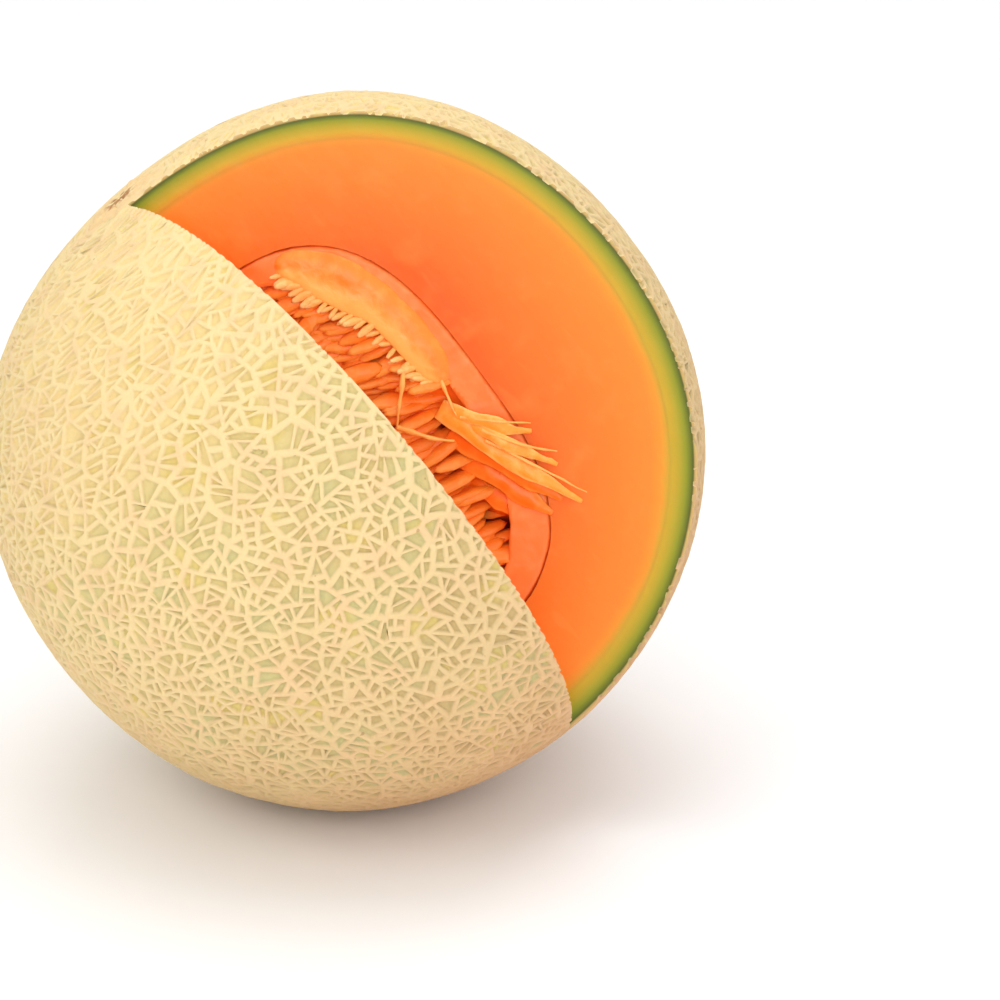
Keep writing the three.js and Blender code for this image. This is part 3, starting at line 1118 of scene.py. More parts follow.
@dataclass
class Net:
    """The rind's net on the unit sphere: wide strands round main cells, split again by finer ones."""

    fruit: Fruit
    main_cell: float = 8.6 * MM
    pit_area: float = 15.0 * MM**2
    half_widths: tuple[float, ...] = (1.0 * MM, 0.88 * MM, 0.78 * MM, 0.7 * MM)
    merge_gap: float = 0.6 * MM
    stem_stretch: float = 2.2
    stem_angle: float = math.radians(42.0)
    blossom_shrink: float = 0.18
    stray: float = 0.6
    levels: int = 5
    pit_spread: float = 0.34
    blossom_pits: float = 0.38
    turn_spread: float = 0.42
    split_shift: float = 0.3
    end_limits: tuple[float, float] = (0.18, 0.82)
    end_stray: float = 0.08 * MM
    width_range: tuple[float, float] = (0.75, 1.3)
    rings: tuple[tuple[float, float], ...] = ((0.55, 0.1), (1.0, 1.0))
    small_pit: float = 0.42
    narrowest: float = 0.55 * MM
    widest_share: float = 0.72
    least_reach: float = 0.02 * MM
    blunt_turn: float = 0.25
    corner_reach: float = 2.4
    middle_share: float = 0.75
    least_side: float = 0.12
    seed: int = 11
    points: list[np.ndarray] = field(default_factory=list)
    on_strand: list[dict[int, float]] = field(default_factory=list)
    width: list[float] = field(default_factory=list)

    def build(self, name: str) -> bpy.types.Object:
        """Builds the net.

        Args:
            name: The piece's name.

        Returns:
            The closed net on the unit sphere, its points marked 0 on strands and 1 in pits.
        """
        rng = np.random.default_rng(self.seed + 2)
        return self._mesh(name, self._split_all(self._main_cells(), rng))

    def stretch(self, polar: float) -> float:
        """Gives how many times wider than high the cells are at an angle from the stem end."""
        return 1 + self.stem_stretch * math.exp(-((polar / self.stem_angle) ** 2))

    def _centres(self) -> np.ndarray:
        """Lays out main cell centres in rows from the stem end to the blossom end.

        Returns:
            Unit directions, one per row.
        """
        rng = np.random.default_rng(self.seed)
        radius = self.fruit.girth_radius
        rows = [np.array([[0.0, 0.0, 1.0]])]
        polar = 0.0
        while True:
            stretch = math.sqrt(self.stretch(polar))
            width = self.main_cell * (1 - self.blossom_shrink * polar / math.pi)
            height = 0.88 * width / stretch / radius
            polar += height
            if polar > math.pi - 0.6 * height:
                break
            count = max(4, round(2 * math.pi * radius * math.sin(polar) / (width * stretch)))
            turn = np.arange(count) + rng.random() + self.stray * rng.uniform(-1, 1, count)
            turn = turn * 2 * math.pi / count
            tilt = polar + self.stray * height * rng.uniform(-1, 1, count)
            around = np.sin(tilt)
            rows.append(np.column_stack([around * np.cos(turn), around * np.sin(turn), np.cos(tilt)]))
        rows.append(np.array([[0.0, 0.0, -1.0]]))
        return np.concatenate(rows)

    def _main_cells(self) -> list[Cell]:
        """Makes the main cells: a hull over the centres, turned into its cell borders.

        Returns:
            The cells, with a strand along every border.
        """
        piece = Bench.loose("main_cells", self._centres())
        Bench.edit(piece, "VERT")
        bpy.ops.mesh.convex_hull(use_existing_faces=False, join_triangles=False)
        Bench.done()
        Bench.dual(piece)
        self.points = list(units(Bench.coords(piece)))
        strand_of: dict[frozenset[int], int] = {}
        cells = []
        for face in piece.data.polygons:
            corners = list(face.vertices)
            strands = []
            for pair in zip(corners, corners[1:] + corners[:1]):
                if frozenset(pair) not in strand_of:
                    strand_of[frozenset(pair)] = self._strand(*pair)
                strands.append(strand_of[frozenset(pair)])
            cells.append(Cell(corners, strands, 0))
        Bench.drop(piece)
        self.width = [self.half_widths[0]] * len(self.on_strand)
        return cells

    def _strand(self, first: int, last: int) -> int:
        """Starts a strand between two points and returns its number."""
        self.on_strand.append({first: 0.0, last: 1.0})
        return len(self.on_strand) - 1

    def _split_all(self, cells: list[Cell], rng: np.random.Generator) -> list[Cell]:
        """Splits cells across their length until their pits are small enough.

        Args:
            cells: The main cells.
            rng: The random stream.

        Returns:
            The small cells.
        """
        done = []
        while cells:
            cell = cells.pop()
            parts = self._split(cell, rng) if cell.level < self.levels else []
            if parts:
                cells += parts
            else:
                done.append(cell)
        return done

    def _flat(self, corners: Sequence[int]) -> tuple[np.ndarray, np.ndarray]:
        """Lays a cell flat.

        Args:
            corners: The cell's corners.

        Returns:
            The corners east and north of the middle, in metres, and the axes east, north and out.
        """
        around = np.array([self.points[corner] for corner in corners])
        out = around.mean(axis=0)
        out /= np.linalg.norm(out)
        east = np.array([-out[1], out[0], 0.0]) if abs(out[2]) < 0.9999 else np.array([1.0, 0.0, 0.0])
        east /= np.linalg.norm(east)
        axes = np.stack([east, np.cross(out, east), out])
        local = around @ axes.T
        return local[:, :2] / local[:, 2:] * self.fruit.girth_radius, axes

    def _split(self, cell: Cell, rng: np.random.Generator) -> list[Cell]:
        """Splits a cell in two.

        Args:
            cell: The cell.
            rng: The random stream.

        Returns:
            The two parts, or nothing if the cell is small enough.
        """
        flat, axes = self._flat(cell.corners)
        polar = math.acos(max(-1.0, min(1.0, axes[2, 2])))
        area = 0.5 * float(np.sum(crosswise(flat, np.roll(flat, -1, axis=0))))
        largest = self.pit_area * (1 - self.blossom_pits * polar / math.pi)
        if area < largest * math.exp(self.pit_spread * rng.normal()):
            return []
        pull = math.sqrt(self.stretch(polar))
        even = flat * np.array([1 / pull, pull])
        even = even - even.mean(axis=0)
        spread = even.T @ even
        turn = 0.5 * math.atan2(2 * spread[0, 1], spread[0, 0] - spread[1, 1])
        turn += self.turn_spread * rng.normal()
        across = even @ np.array([math.cos(turn), math.sin(turn)])
        across = across - rng.uniform(-self.split_shift, self.split_shift) * np.abs(across).max()
        count = len(flat)
        crossed = [i for i in range(count) if (across[i] < 0) != (across[(i + 1) % count] < 0)]
        if len(crossed) != 2:
            return []
        first, second = crossed
        one = self._mark(cell, first, across[first] / (across[first] - across[(first + 1) % count]), rng)
        two = self._mark(cell, second, across[second] / (across[second] - across[(second + 1) % count]), rng)
        strand = self._strand(one, two)
        level = cell.level + 1
        self.width.append(self.half_widths[min(level, len(self.half_widths) - 1)])
        corners, strands = cell.corners, cell.strands
        inner = Cell(
            [one] + corners[first + 1 : second + 1] + [two], strands[first : second + 1] + [strand], level
        )
        outer = Cell(
            corners[: first + 1] + [one, two] + corners[second + 1 :],
            strands[: first + 1] + [strand] + strands[second:],
            level,
        )
        return [self._tidied(inner), self._tidied(outer)]

    @staticmethod
    def _tidied(cell: Cell) -> Cell:
        """Drops corners that fall on the next one.

        Args:
            cell: The cell.

        Returns:
            The cell without them.
        """
        after = cell.corners[1:] + cell.corners[:1]
        keep = [i for i, corner in enumerate(cell.corners) if corner != after[i]]
        return Cell([cell.corners[i] for i in keep], [cell.strands[i] for i in keep], cell.level)

    def _mark(self, cell: Cell, side: int, share: float, rng: np.random.Generator) -> int:
        """Puts a point on one side of a cell, or takes one that is already there.

        Args:
            cell: The cell.
            side: Number of the side.
            share: Place along the side.
            rng: The random stream.

        Returns:
            The point's number.
        """
        start, end = cell.corners[side], cell.corners[(side + 1) % len(cell.corners)]
        strand = self.on_strand[cell.strands[side]]
        share = min(self.end_limits[1], max(self.end_limits[0], share))
        place = strand[start] + share * (strand[end] - strand[start])
        length = np.linalg.norm(self.points[start] - self.points[end]) * self.fruit.girth_radius
        scale = length / max(abs(strand[end] - strand[start]), 1e-9)
        low, high = sorted((strand[start], strand[end]))
        near = [
            p for p, at in strand.items() if low < at < high and abs(at - place) * scale < self.merge_gap
        ]
        if near:
            return near[0]
        point = self.points[start] + share * (self.points[end] - self.points[start])
        point = point + self.end_stray / self.fruit.girth_radius * rng.normal(size=3)
        self.points.append(point / np.linalg.norm(point))
        strand[len(self.points) - 1] = place
        return len(self.points) - 1

    def _crest(self, cell: Cell, side: int) -> list[int]:
        """Follows one side of a cell.

        Args:
            cell: The cell.
            side: Number of the side.

        Returns:
            The points along it, with those that other cells put there.
        """
        strand = self.on_strand[cell.strands[side]]
        start, end = cell.corners[side], cell.corners[(side + 1) % len(cell.corners)]
        low, high = sorted((strand[start], strand[end]))
        between = [point for point, at in strand.items() if low < at < high]
        between.sort(key=strand.get, reverse=strand[start] > strand[end])
        return [start, *between, end]

    def _mesh(self, name: str, cells: Sequence[Cell]) -> bpy.types.Object:
        """Builds strands and pits as one closed mesh.

        Args:
            name: The piece's name.
            cells: The cells.

        Returns:
            The piece.
        """
        rng = np.random.default_rng(self.seed + 3)
        widths = np.array(self.width) * rng.uniform(*self.width_range, len(self.width))
        points = list(self.points)
        pits = [0.0] * len(points)
        faces: list[list[int]] = []
        for cell in cells:
            flat, axes = self._flat(cell.corners)
            step = self._inward(flat, widths[cell.strands])
            count = len(cell.corners)
            if self._crossed(flat, step):
                step = self.small_pit * (flat.mean(axis=0) - flat)
            if self._crossed(flat, step):
                faces.append([point for i in range(count) for point in self._crest(cell, i)[:-1]])
                continue
            rings = []
            for share, pit in self.rings:
                inner = flat + share * step
                rings.append(list(range(len(points), len(points) + count)))
                points += list(units(axes[2] + inner @ axes[:2] / self.fruit.girth_radius))
                pits += [pit] * count
            shoulder, foot = rings
            for i in range(count):
                j = (i + 1) % count
                faces.append(self._crest(cell, i) + [shoulder[j], shoulder[i]])
                faces.append([shoulder[i], shoulder[j], foot[j], foot[i]])
            faces.append(foot)
        piece = Bench.loose(name, np.array(points), faces)
        Bench.mark(piece, "pit", np.array(pits))
        return piece

    def _crossed(self, flat: np.ndarray, step: np.ndarray) -> bool:
        """Tells whether a cell is too narrow for a pit, so that the sides of the pit would cross.

        Args:
            flat: The cell's corners in turn, laid flat.
            step: How far each corner of the pit lies inside its cell's corner.

        Returns:
            True if it is.
        """
        pit = flat + step
        ahead, side = np.roll(pit, -1, axis=0) - pit, np.roll(flat, -1, axis=0) - flat
        ends = np.roll(step, -1, axis=0)
        depth = np.minimum(crosswise(side, step), crosswise(side, ends))
        reach = crosswise(side, flat.mean(axis=0) - flat) / np.linalg.norm(side, axis=1)
        along = np.einsum("ij,ij->i", ahead, side)
        return bool((along <= 0).any() or (depth <= 0).any() or reach.min() < self.narrowest)

    def _inward(self, flat: np.ndarray, widths: np.ndarray) -> np.ndarray:
        """Finds how far each corner of a pit lies inside its cell's corner.

        Args:
            flat: The cell's corners in turn, laid flat.
            widths: Half width of the strand after each corner.

        Returns:
            One step per corner.
        """
        side = np.roll(flat, -1, axis=0) - flat
        length = np.maximum(np.linalg.norm(side, axis=1), 1e-9)
        after = np.column_stack([-side[:, 1], side[:, 0]]) / length[:, None]
        middle = flat.mean(axis=0)
        reach = np.einsum("ij,ij->i", middle - flat, after)
        width = np.minimum(widths, self.widest_share * np.maximum(reach, self.least_reach))
        before, width_before = np.roll(after, 1, axis=0), np.roll(width, 1)
        turn = crosswise(before, after)
        sharp = np.abs(turn) > self.blunt_turn
        safe = np.where(sharp, turn, 1.0)
        corner = np.column_stack(
            [
                (width_before * after[:, 1] - width * before[:, 1]) / safe,
                (width * before[:, 0] - width_before * after[:, 0]) / safe,
            ]
        )
        plain = (before + after) * (0.25 * (width + width_before))[:, None]
        step = np.where(sharp[:, None], corner, plain)
        limit = np.minimum(
            self.corner_reach * np.maximum(width, width_before),
            self.middle_share * np.linalg.norm(middle - flat, axis=1),
        )
        size = np.maximum(np.linalg.norm(step, axis=1), 1e-9)
        step = step * np.minimum(1.0, limit / size)[:, None]
        for _ in range(4):
            left = np.einsum("ij,ij->i", side + np.roll(step, -1, axis=0) - step, side) / length**2
            for start in np.flatnonzero(left < self.least_side):
                end = (start + 1) % len(step)
                step[start] = step[end] = (step[start] + step[end]) / 2
        return step


@dataclass
class Rind:
    """The netted rind with its green layer, cut through at the wedge."""

    fruit: Fruit
    net_height: float = 0.8 * MM
    worn_angle: float = 11.8
    worn_fade: float = 6.2
    unevenness: tuple[tuple[float, float, float], ...] = ((0.35 * MM, 40, 3.0), (0.12 * MM, 420, 7.0))
    finish: RindFinish = field(default_factory=RindFinish)

    def build(self, flesh: bpy.types.Material) -> bpy.types.Object:
        """Builds the rind.

        Args:
            flesh: The material of its cut edges and inside.

        Returns:
            The piece.
        """
        piece = Net(self.fruit).build("melon_rind")
        self._raise(piece)
        self._cut(piece)
        Bench.dress(piece, self.finish.make(self.fruit), flesh, flesh)
        self._paint_cut(piece)
        return Bench.fit(piece, "rind", "rind")

    def _raise(self, piece: bpy.types.Object) -> None:
        """Sets the height of strands and pits, with uneven strands and a slightly lumpy fruit.

        Args:
            piece: The net on the unit sphere.
        """
        directions = units(Bench.coords(piece))
        drop = Bench.marks(piece, "pit")
        shell = directions * self.fruit.girth_radius
        uneven = bumps(shell, *self.unevenness)
        radius = self.fruit.outline(directions) - drop * self._height(directions) + uneven
        Bench.move(piece, self.fruit.place(directions * radius[:, None]))

    def _height(self, directions: np.ndarray) -> np.ndarray:
        """Gives the net's height: low at the stem end, none on the resting spot.

        Args:
            directions: Unit directions in the fruit's frame.

        Returns:
            One height per direction.
        """
        polar = np.degrees(np.arccos(np.clip(directions[:, 2], -1, 1)))
        rest = np.array([-math.sin(self.fruit.lean), 0.0, -math.cos(self.fruit.lean)])
        off = np.degrees(np.arccos(np.clip(directions @ rest, -1, 1)))
        worn = np.clip((off - self.worn_angle) / self.worn_fade, 0, 1)
        stem = 0.55 + 0.45 * np.clip((polar - 25) / 35, 0, 1)
        return self.net_height * worn * worn * (3 - 2 * worn) * stem

    def _cut(self, piece: bpy.types.Object) -> None:
        """Hollows the rind, cuts the wedge out and flattens the resting spot.

        Args:
            piece: The netted fruit.
        """
        tools = Tools(self.fruit)
        thickness = self.fruit.rind_thickness
        Bench.cut(piece, tools.round("rind_inside", 96, 48, lambda way: self.fruit.outline(way) - thickness))
        Bench.cut(piece, tools.wedge())
        Bench.clear()
        bpy.ops.mesh.primitive_cube_add(size=0.3, location=(0, 0, -0.15))
        Bench.cut(piece, Bench.named("ground_tool"))

    def _paint_cut(self, piece: bpy.types.Object) -> None:
        """Gives the cut edges and the inside the flesh's material.

        Args:
            piece: The cut rind.
        """
        polygons = piece.data.polygons
        normals, centres = np.zeros(len(polygons) * 3, np.float32), np.zeros(len(polygons) * 3, np.float32)
        polygons.foreach_get("normal", normals)
        polygons.foreach_get("center", centres)
        own = self.fruit.own(centres.reshape(-1, 3))
        turned = normals.reshape(-1, 3).astype(float) @ self.fruit.lean_turn()
        radius = np.linalg.norm(own, axis=1)
        inside = self.fruit.outline(own / radius[:, None]) - radius > 0.9 * self.fruit.rind_thickness
        slots = np.where(inside, 2, 0)
        for face in CutFace:
            lift = self.fruit.off_face(face, own)[:, 2]
            slots[(turned @ self.fruit.face_axes(face)[2] > 0.995) & (np.abs(lift) < 0.05 * MM)] = 1
        polygons.foreach_set("material_index", slots.astype(np.int32))
        Bench.crease_borders(piece, 1)


@dataclass
class Flesh:
    """The flesh between the rind and the seed cavity, with its two cut faces."""

    fruit: Fruit
    furrow: float = 0.12 * MM

    def build(self, material: bpy.types.Material) -> bpy.types.Object:
        """Builds the flesh.

        Args:
            material: The flesh's material.

        Returns:
            The piece.
        """
        tools = Tools(self.fruit)
        depth = self.fruit.rind_thickness
        piece = tools.round("melon_flesh", 96, 48, lambda way: self.fruit.outline(way) - depth)
        Bench.cut(piece, tools.round("cavity_tool", 80, 48, self._cavity_wall))
        Bench.cut(piece, tools.wedge())
        Bench.dress(piece, material)
        Bench.smooth(piece, 40)
        return Bench.fit(piece, "flesh", "flesh")

    def _cavity_wall(self, directions: np.ndarray) -> np.ndarray:
        """Gives the cavity's wall with shallow furrows along it.

        Args:
            directions: Unit directions in the fruit's frame.

        Returns:
            One radius per direction.
        """
        turn = np.arctan2(directions[:, 1], directions[:, 0])
        around = np.sqrt(np.clip(1 - directions[:, 2] ** 2, 0, 1))
        return self.fruit.cavity(directions, 0.0) + self.furrow * np.cos(26 * turn) * around


@dataclass(frozen=True)
class SeedPlace:
    """Where one copy of a seed or tooth goes, in the fruit's frame."""

    centre: np.ndarray
    along: np.ndarray
    flat: np.ndarray
    size: float


@dataclass
class SeedMass:
    """What the cavity holds: pulp lining, lobes with a fringe, coated seeds, a torn flap and strands."""

    fruit: Fruit
    crevice: float = 0.32 * MM
    hollow_centre: tuple[float, float, float] = (4 * MM, -14 * MM, 2 * MM)
    hollow_radii: tuple[float, float, float] = (26 * MM, 28 * MM, 43 * MM)
    seed_half: tuple[float, float, float] = (6.4 * MM, 2.5 * MM, 1.1 * MM)
    tooth_half: tuple[float, float, float] = (2.7 * MM, 0.72 * MM, 0.66 * MM)
    seed_pitch: float = 2.3 * MM
    column_step: float = 5.0 * MM
    seed: int = 29
    lobe_outer: tuple[tuple[float, float], ...] = (
        (16.0, 41.9), (18.5, 42.3), (21.4, 41.0), (25.9, 36.8), (29.1, 30.0),
        (31.1, 20.6), (31.5, 12.4), (30.4, 4.6), (27.4, 1.0),
    )
    lobe_inner: tuple[tuple[float, float], ...] = (
        (15.4, 40.6), (16.5, 37.1), (17.5, 33.4), (18.8, 29.0), (20.6, 25.0),
        (22.8, 20.8), (23.7, 15.5), (24.0, 10.0), (24.6, 5.0), (26.4, 1.4),
    )
    flap_strips: tuple[tuple[Route, float], ...] = (
        (
            (
                (22.5, -3, -2.0), (24.5, -8, 0.6), (25.2, -14, 1.4),
                (27.4, -21, 1.9), (30.2, -28, 1.9), (33.4, -37, 1.2),
            ),
            5.0,
        ),
        (((23, -4, -1.5), (26.5, -8, 1.4), (29.6, -12, 2.2), (31.4, -15.4, 1.9), (34.8, -18.6, 1.0)), 4.0),
        (((24, -7, 0.0), (27.4, -13, 2.2), (29.8, -18.5, 2.6), (32.4, -23.5, 2.0), (34.5, -27.5, 1.0)), 3.2),
    )
    curtain_strips: tuple[tuple[Route, float], ...] = (
        (((22, -8, -3.0), (24, -15, -0.4), (26.4, -22, 0.7), (28.6, -28, 0.9), (30.4, -34, 0.7)), 6.4),
        (((20, -13, -4.0), (22, -20, -1.2), (24.0, -26, -0.2), (25.6, -31, 0.3), (27.0, -35, 0.5)), 5.8),
        (((17, -18, -6.0), (19.2, -24, -2.6), (21.0, -29, -1.6), (22.2, -33, -1.6)), 5.0),
    )
    threads: tuple[tuple[Route, float], ...] = (
        (((25, -7, 1.2), (29.5, -11.4, 2.8), (32.8, -14.6, 2.4), (35.6, -17.2, 0.9)), 0.4),
        (((27, -12, 2.2), (31, -18.6, 3.2), (33.5, -22.2, 2.4), (36, -25.4, 0.9)), 0.45),
        (((26, -14, 2.0), (30, -23, 2.8), (33, -30, 2.2), (35.4, -36, 0.9)), 0.4),
        (((22.5, 8.4, 0.4), (19.5, 5.6, 1.0), (16.4, 2.6, 1.0), (13.4, -0.3, 0.4)), 0.62),
        (((13.4, -0.3, 0.4), (15.8, -3.8, 1.1), (18.2, -7.2, 1.3), (21, -10, 1.0)), 0.66),
        (((27.0, 1.6, 0.2), (25.8, -1.6, 0.6), (25.0, -4.4, 0.8), (24.5, -7.0, 0.7)), 0.42),
    )
    rim_seeds: tuple[tuple[float, float, float], ...] = (
        (12.6, 33.9, -1.0), (12.9, 28.2, -0.8), (14.0, 13.6, -0.6), (11.0, 20.5, -2.4),
    )
    # Spots on the far face where the seed bank has gaps; the backing sinks there and is painted dark maroon
    # as shade.
    gaps: tuple[tuple[float, float], ...] = ((15.3, -12.9), (21.0, -6.4), (14.9, -27.8), (17.4, -31.8))
    gap_radius: float = 2.6 * MM
    seed_sizes: tuple[float, float] = (0.85, 1.1)
    bank_rows: int = 3
    bank_layers: int = 2
    teeth_near: int = 40
    teeth_far: int = 26
    tooth_sizes: tuple[float, float] = (0.75, 1.35)
    tooth_lifts_mm: tuple[float, float] = (-0.15, 0.3)
    tooth_swell: float = 0.3

    def build(self) -> list[bpy.types.Object]:
        """Builds every piece of the seed mass.

        Returns:
            The pieces.
        """
        lobe, fringe = Pulp.LOBE.make(self.fruit), Pulp.FRINGE.make(self.fruit)
        lining = Bench.dress(self._lining(), Pulp.WALL.make(self.fruit))
        made = [Bench.fit(lining, "seed_pulp", "seed_pulp")]
        others = [Bench.dress(self._seeds(), Pulp.COAT.make(self.fruit))]
        others += [Bench.dress(self._backing(), Pulp.DEEP.make(self.fruit))]
        others += [Bench.dress(self._lobe(face), lobe) for face in CutFace]
        others += [Bench.dress(self._fringe(face), fringe) for face in CutFace]
        flap = self._flap("pulp_flap", self.flap_strips)
        others += [Bench.dress(flap, Pulp.TORN.make(self.fruit))]
        curtain = self._flap("pulp_curtain", self.curtain_strips)
        others += [Bench.dress(curtain, Pulp.CURTAIN.make(self.fruit))]
        others += [Bench.dress(self._strands(), fringe)]
        return made + [Bench.fit(piece, "seed_pulp") for piece in others]

    def _lining(self) -> bpy.types.Object:
        """Makes the lumpy lining of the cavity round its open hollow, painted a deeper orange as shade
        further in behind the cut faces.

        Returns:
            The piece.
        """
        tools = Tools(self.fruit)
        piece = tools.round("pulp_lining", 64, 40, lambda way: self.fruit.cavity(way, self.crevice))
        Bench.cut(piece, tools.egg("hollow_tool", self.hollow_centre, self.hollow_radii))
        Bench.cut(piece, tools.wedge())
        Bench.hold(piece)
        piece.data.remesh_voxel_size = 0.9 * MM
        bpy.ops.object.voxel_remesh()
        points = Bench.coords(piece)
        own = self.fruit.own(points)
        lift = 0.2 * MM * waver(own, 150, 2.0) + 0.12 * MM * waver(own * np.array([1, 1, 2.0]), 420, 5.0)
        Bench.move(piece, points + Bench.coords(piece, "normal") * (lift - 0.2 * MM)[:, None])
        # Painted shade: marks the lining for a deeper orange from 2 mm behind the cut faces inward.
        deep = np.minimum(*[-self.fruit.off_face(face, own)[:, 2] for face in CutFace])
        Bench.mark(piece, "tip_and_painted_shade", np.clip((deep - 2 * MM) / (9 * MM), 0, 1))
        Bench.smooth(piece)
        return piece

    def _backing(self) -> bpy.types.Object:
        """Makes the sheet of pulp that the seeds behind the far lobe stand on, sunk and painted dark maroon
        as shade at the gaps between seeds.

        Returns:
            The piece.
        """
        piece = Bench.grid("pulp_backing", 48, 18)
        shares = Bench.coords(piece)
        ups = (39.0 - 79.0 * shares[:, 0]) * MM
        edge = np.array([self._lobe_edge(CutFace.FAR, up) for up in ups])
        outs = edge + (3.0 - 17.0 * shares[:, 1]) * MM
        steps = np.column_stack([outs, ups, (-3.2 - 4.0 * shares[:, 1] ** 1.4) * MM])
        steps[:, 2] += bumps(steps, (0.7 * MM, 170, 3.0), (0.3 * MM, 520, 6.0))
        # Painted shade: the backing sinks at each gap and is marked there for the dark maroon of the deep
        # pulp.
        dark = np.clip(1.5 - 1.1 * self._off_gap(steps[:, :2]) / self.gap_radius, 0, 1)
        steps[:, 2] -= 3.0 * MM * dark
        Bench.move(piece, self.fruit.place(self.fruit.on_face(CutFace.FAR, steps)))
        Bench.mark(piece, "tip_and_painted_shade", dark)
        return self._thickened(piece, 1.2 * MM)

    def _off_gap(self, spots: np.ndarray) -> np.ndarray:
        """Measures how far spots on the far face, as rows of out and up, lie from the nearest gap."""
        return np.linalg.norm(spots[:, None] - np.array(self.gaps) * MM, axis=2).min(axis=1)

    def _copies(
        self, name: str, half: Sequence[float], places: Iterable[SeedPlace], swell: float = 0.0
    ) -> bpy.types.Object:
        """Models one flat drop, pointed at its inner end, and copies it to many places in one mesh.

        Args:
            name: The piece's name.
            half: The drop's half length, half width and half thickness.
            places: Where the copies go.
            swell: How much thicker the drop gets toward its inner end.

        Returns:
            The piece.
        """
        model = Bench.sphere("seed_model", 8, 5)
        base = Bench.coords(model)[:, [2, 0, 1]]
        tips = np.clip(base[:, 0] + 0.1, 0, 1)
        if swell:
            base[:, 1:] *= (1 + swell * base[:, :1]) * np.clip(1.15 - base[:, :1] ** 6, 0.3, 1)
        else:
            base[:, 1] *= 1 - 0.35 * np.clip(base[:, 0], 0, 1) ** 2
        base *= np.array(half)
        faces = [list(face.vertices) for face in model.data.polygons]
        Bench.drop(model)
        points: list[np.ndarray] = []
        rings: list[list[int]] = []
        for spot in places:
            along = spot.along / np.linalg.norm(spot.along)
            across = np.cross(spot.flat, along)
            across /= np.linalg.norm(across)
            start = len(points) * len(base)
            axes = np.stack([along, across, np.cross(along, across)])
            points.append(spot.centre + spot.size * base @ axes)
            rings += [[start + corner for corner in face] for face in faces]
        piece = Bench.loose(name, self.fruit.place(np.concatenate(points)), rings)
        Bench.mark(piece, "tip_and_painted_shade", np.tile(tips, len(points)))
        Bench.outward(piece)
        Bench.smooth(piece)
        return piece

    def _seeds(self) -> bpy.types.Object:
        """Stacks coated seeds on the hollow's wall and behind the lobes.

        Returns:
            The piece.
        """
        rng = np.random.default_rng(self.seed)
        places = self._wall_seeds(rng)
        for face in CutFace:
            places += self._bank_seeds(face, rng)
        axes = self.fruit.face_axes(CutFace.FAR)
        for out, up, lift in self.rim_seeds:
            centre = self.fruit.on_face(CutFace.FAR, np.array([[out, up, lift]]) * MM)[0]
            along = np.array([-1.0, 0.3 + 0.2 * rng.normal(), 0.1]) @ axes
            places.append(SeedPlace(centre, along, np.array([0.1, 0.3, 1.0]) @ axes, rng.uniform(0.75, 0.9)))
        return self._copies("coated_seeds", self.seed_half, places)

    def _wall_seeds(self, rng: np.random.Generator) -> list[SeedPlace]:
        """Stands seeds in stacked columns on the hollow's wall.

        Args:
            rng: The random stream.

        Returns:
            Their places.
        """
        centre, radii = np.array(self.hollow_centre), np.array(self.hollow_radii)
        places = []
        rows = int(1.7 * radii[2] / self.seed_pitch)
        for row in range(rows):
            height = (row - (rows - 1) / 2) * self.seed_pitch / radii[2]
            narrow = math.sqrt(1 - height**2)
            count = max(5, round(2 * math.pi * radii[1] * narrow / self.column_step))
            for column in range(count):
                turn = 2 * math.pi * (column + 0.5 * (row % 2) + 0.2 * rng.normal()) / count
                inward = np.array([-math.cos(turn), -math.sin(turn), -0.5 * height])
                inward = inward + 0.2 * rng.normal(size=3)
                flat = np.array([0.0, 0.0, 1.0]) + 0.22 * rng.normal(size=3)
                wall = np.array([narrow * math.cos(turn), narrow * math.sin(turn), height])
                spot = centre + radii * wall + inward * self.seed_half[0] * rng.uniform(-0.2, 0.6)
                size = rng.uniform(*self.seed_sizes)
                if self._kept(spot):
                    places.append(SeedPlace(spot, inward, flat, size))
        return places

    def _kept(self, spot: np.ndarray) -> bool:
        """Tells whether a seed may stand at a spot: behind a cut face, and not where the far wall is bare.

        Args:
            spot: A point in the fruit's frame.

        Returns:
            True if it may.
        """
        lifts = [self.fruit.off_face(face, spot[None])[0, 2] for face in CutFace]
        out, up, lift = self.fruit.off_face(CutFace.FAR, spot[None])[0]
        bare = out > 18 * MM and up < 2 * MM and lift > -11 * MM
        return max(lifts) < 40 * MM and min(lifts) < -4.0 * MM and not bare

    def _bank_seeds(self, face: CutFace, rng: np.random.Generator) -> list[SeedPlace]:
        """Stacks seeds like slats behind a cut face, from its lobe inward.

        Args:
            face: Which cut face.
            rng: The random stream.

        Returns:
            Their places.
        """
        axes = self.fruit.face_axes(face)
        low = -36 * MM if face is CutFace.FAR else -40 * MM
        places = []
        for up in np.arange(low, 40 * MM, self.seed_pitch):
            edge = self._lobe_edge(face, up)
            if face is CutFace.FAR and up < 0:
                edge = min(edge, 22.0 * MM + 0.2 * up)
            for row, layer in np.ndindex(self.bank_rows, self.bank_layers):
                out = edge - (2.0 + 5.4 * row + 1.5 * layer) * MM + 0.8 * MM * rng.normal()
                lift = -(2.2 + 1.0 * row + 2.6 * layer) * MM + 0.4 * MM * rng.normal()
                along = np.array([-1.0, 0.3 + 0.16 * rng.normal(), 0.25 + 0.12 * rng.normal()]) @ axes
                flat = np.array([0.1 * rng.normal(), 0.8, 0.6 + 0.2 * rng.normal()]) @ axes
                shift = 0.35 * self.seed_pitch * rng.normal()
                centre = self.fruit.on_face(face, np.array([[out, up + shift, lift]]))[0]
                size = rng.uniform(*self.seed_sizes)
                clear = self._off_gap(np.array([[out, up + shift]]))[0] > 1.2 * self.gap_radius
                if face is CutFace.NEAR or clear:
                    places.append(SeedPlace(centre, along, flat, size))
        return places

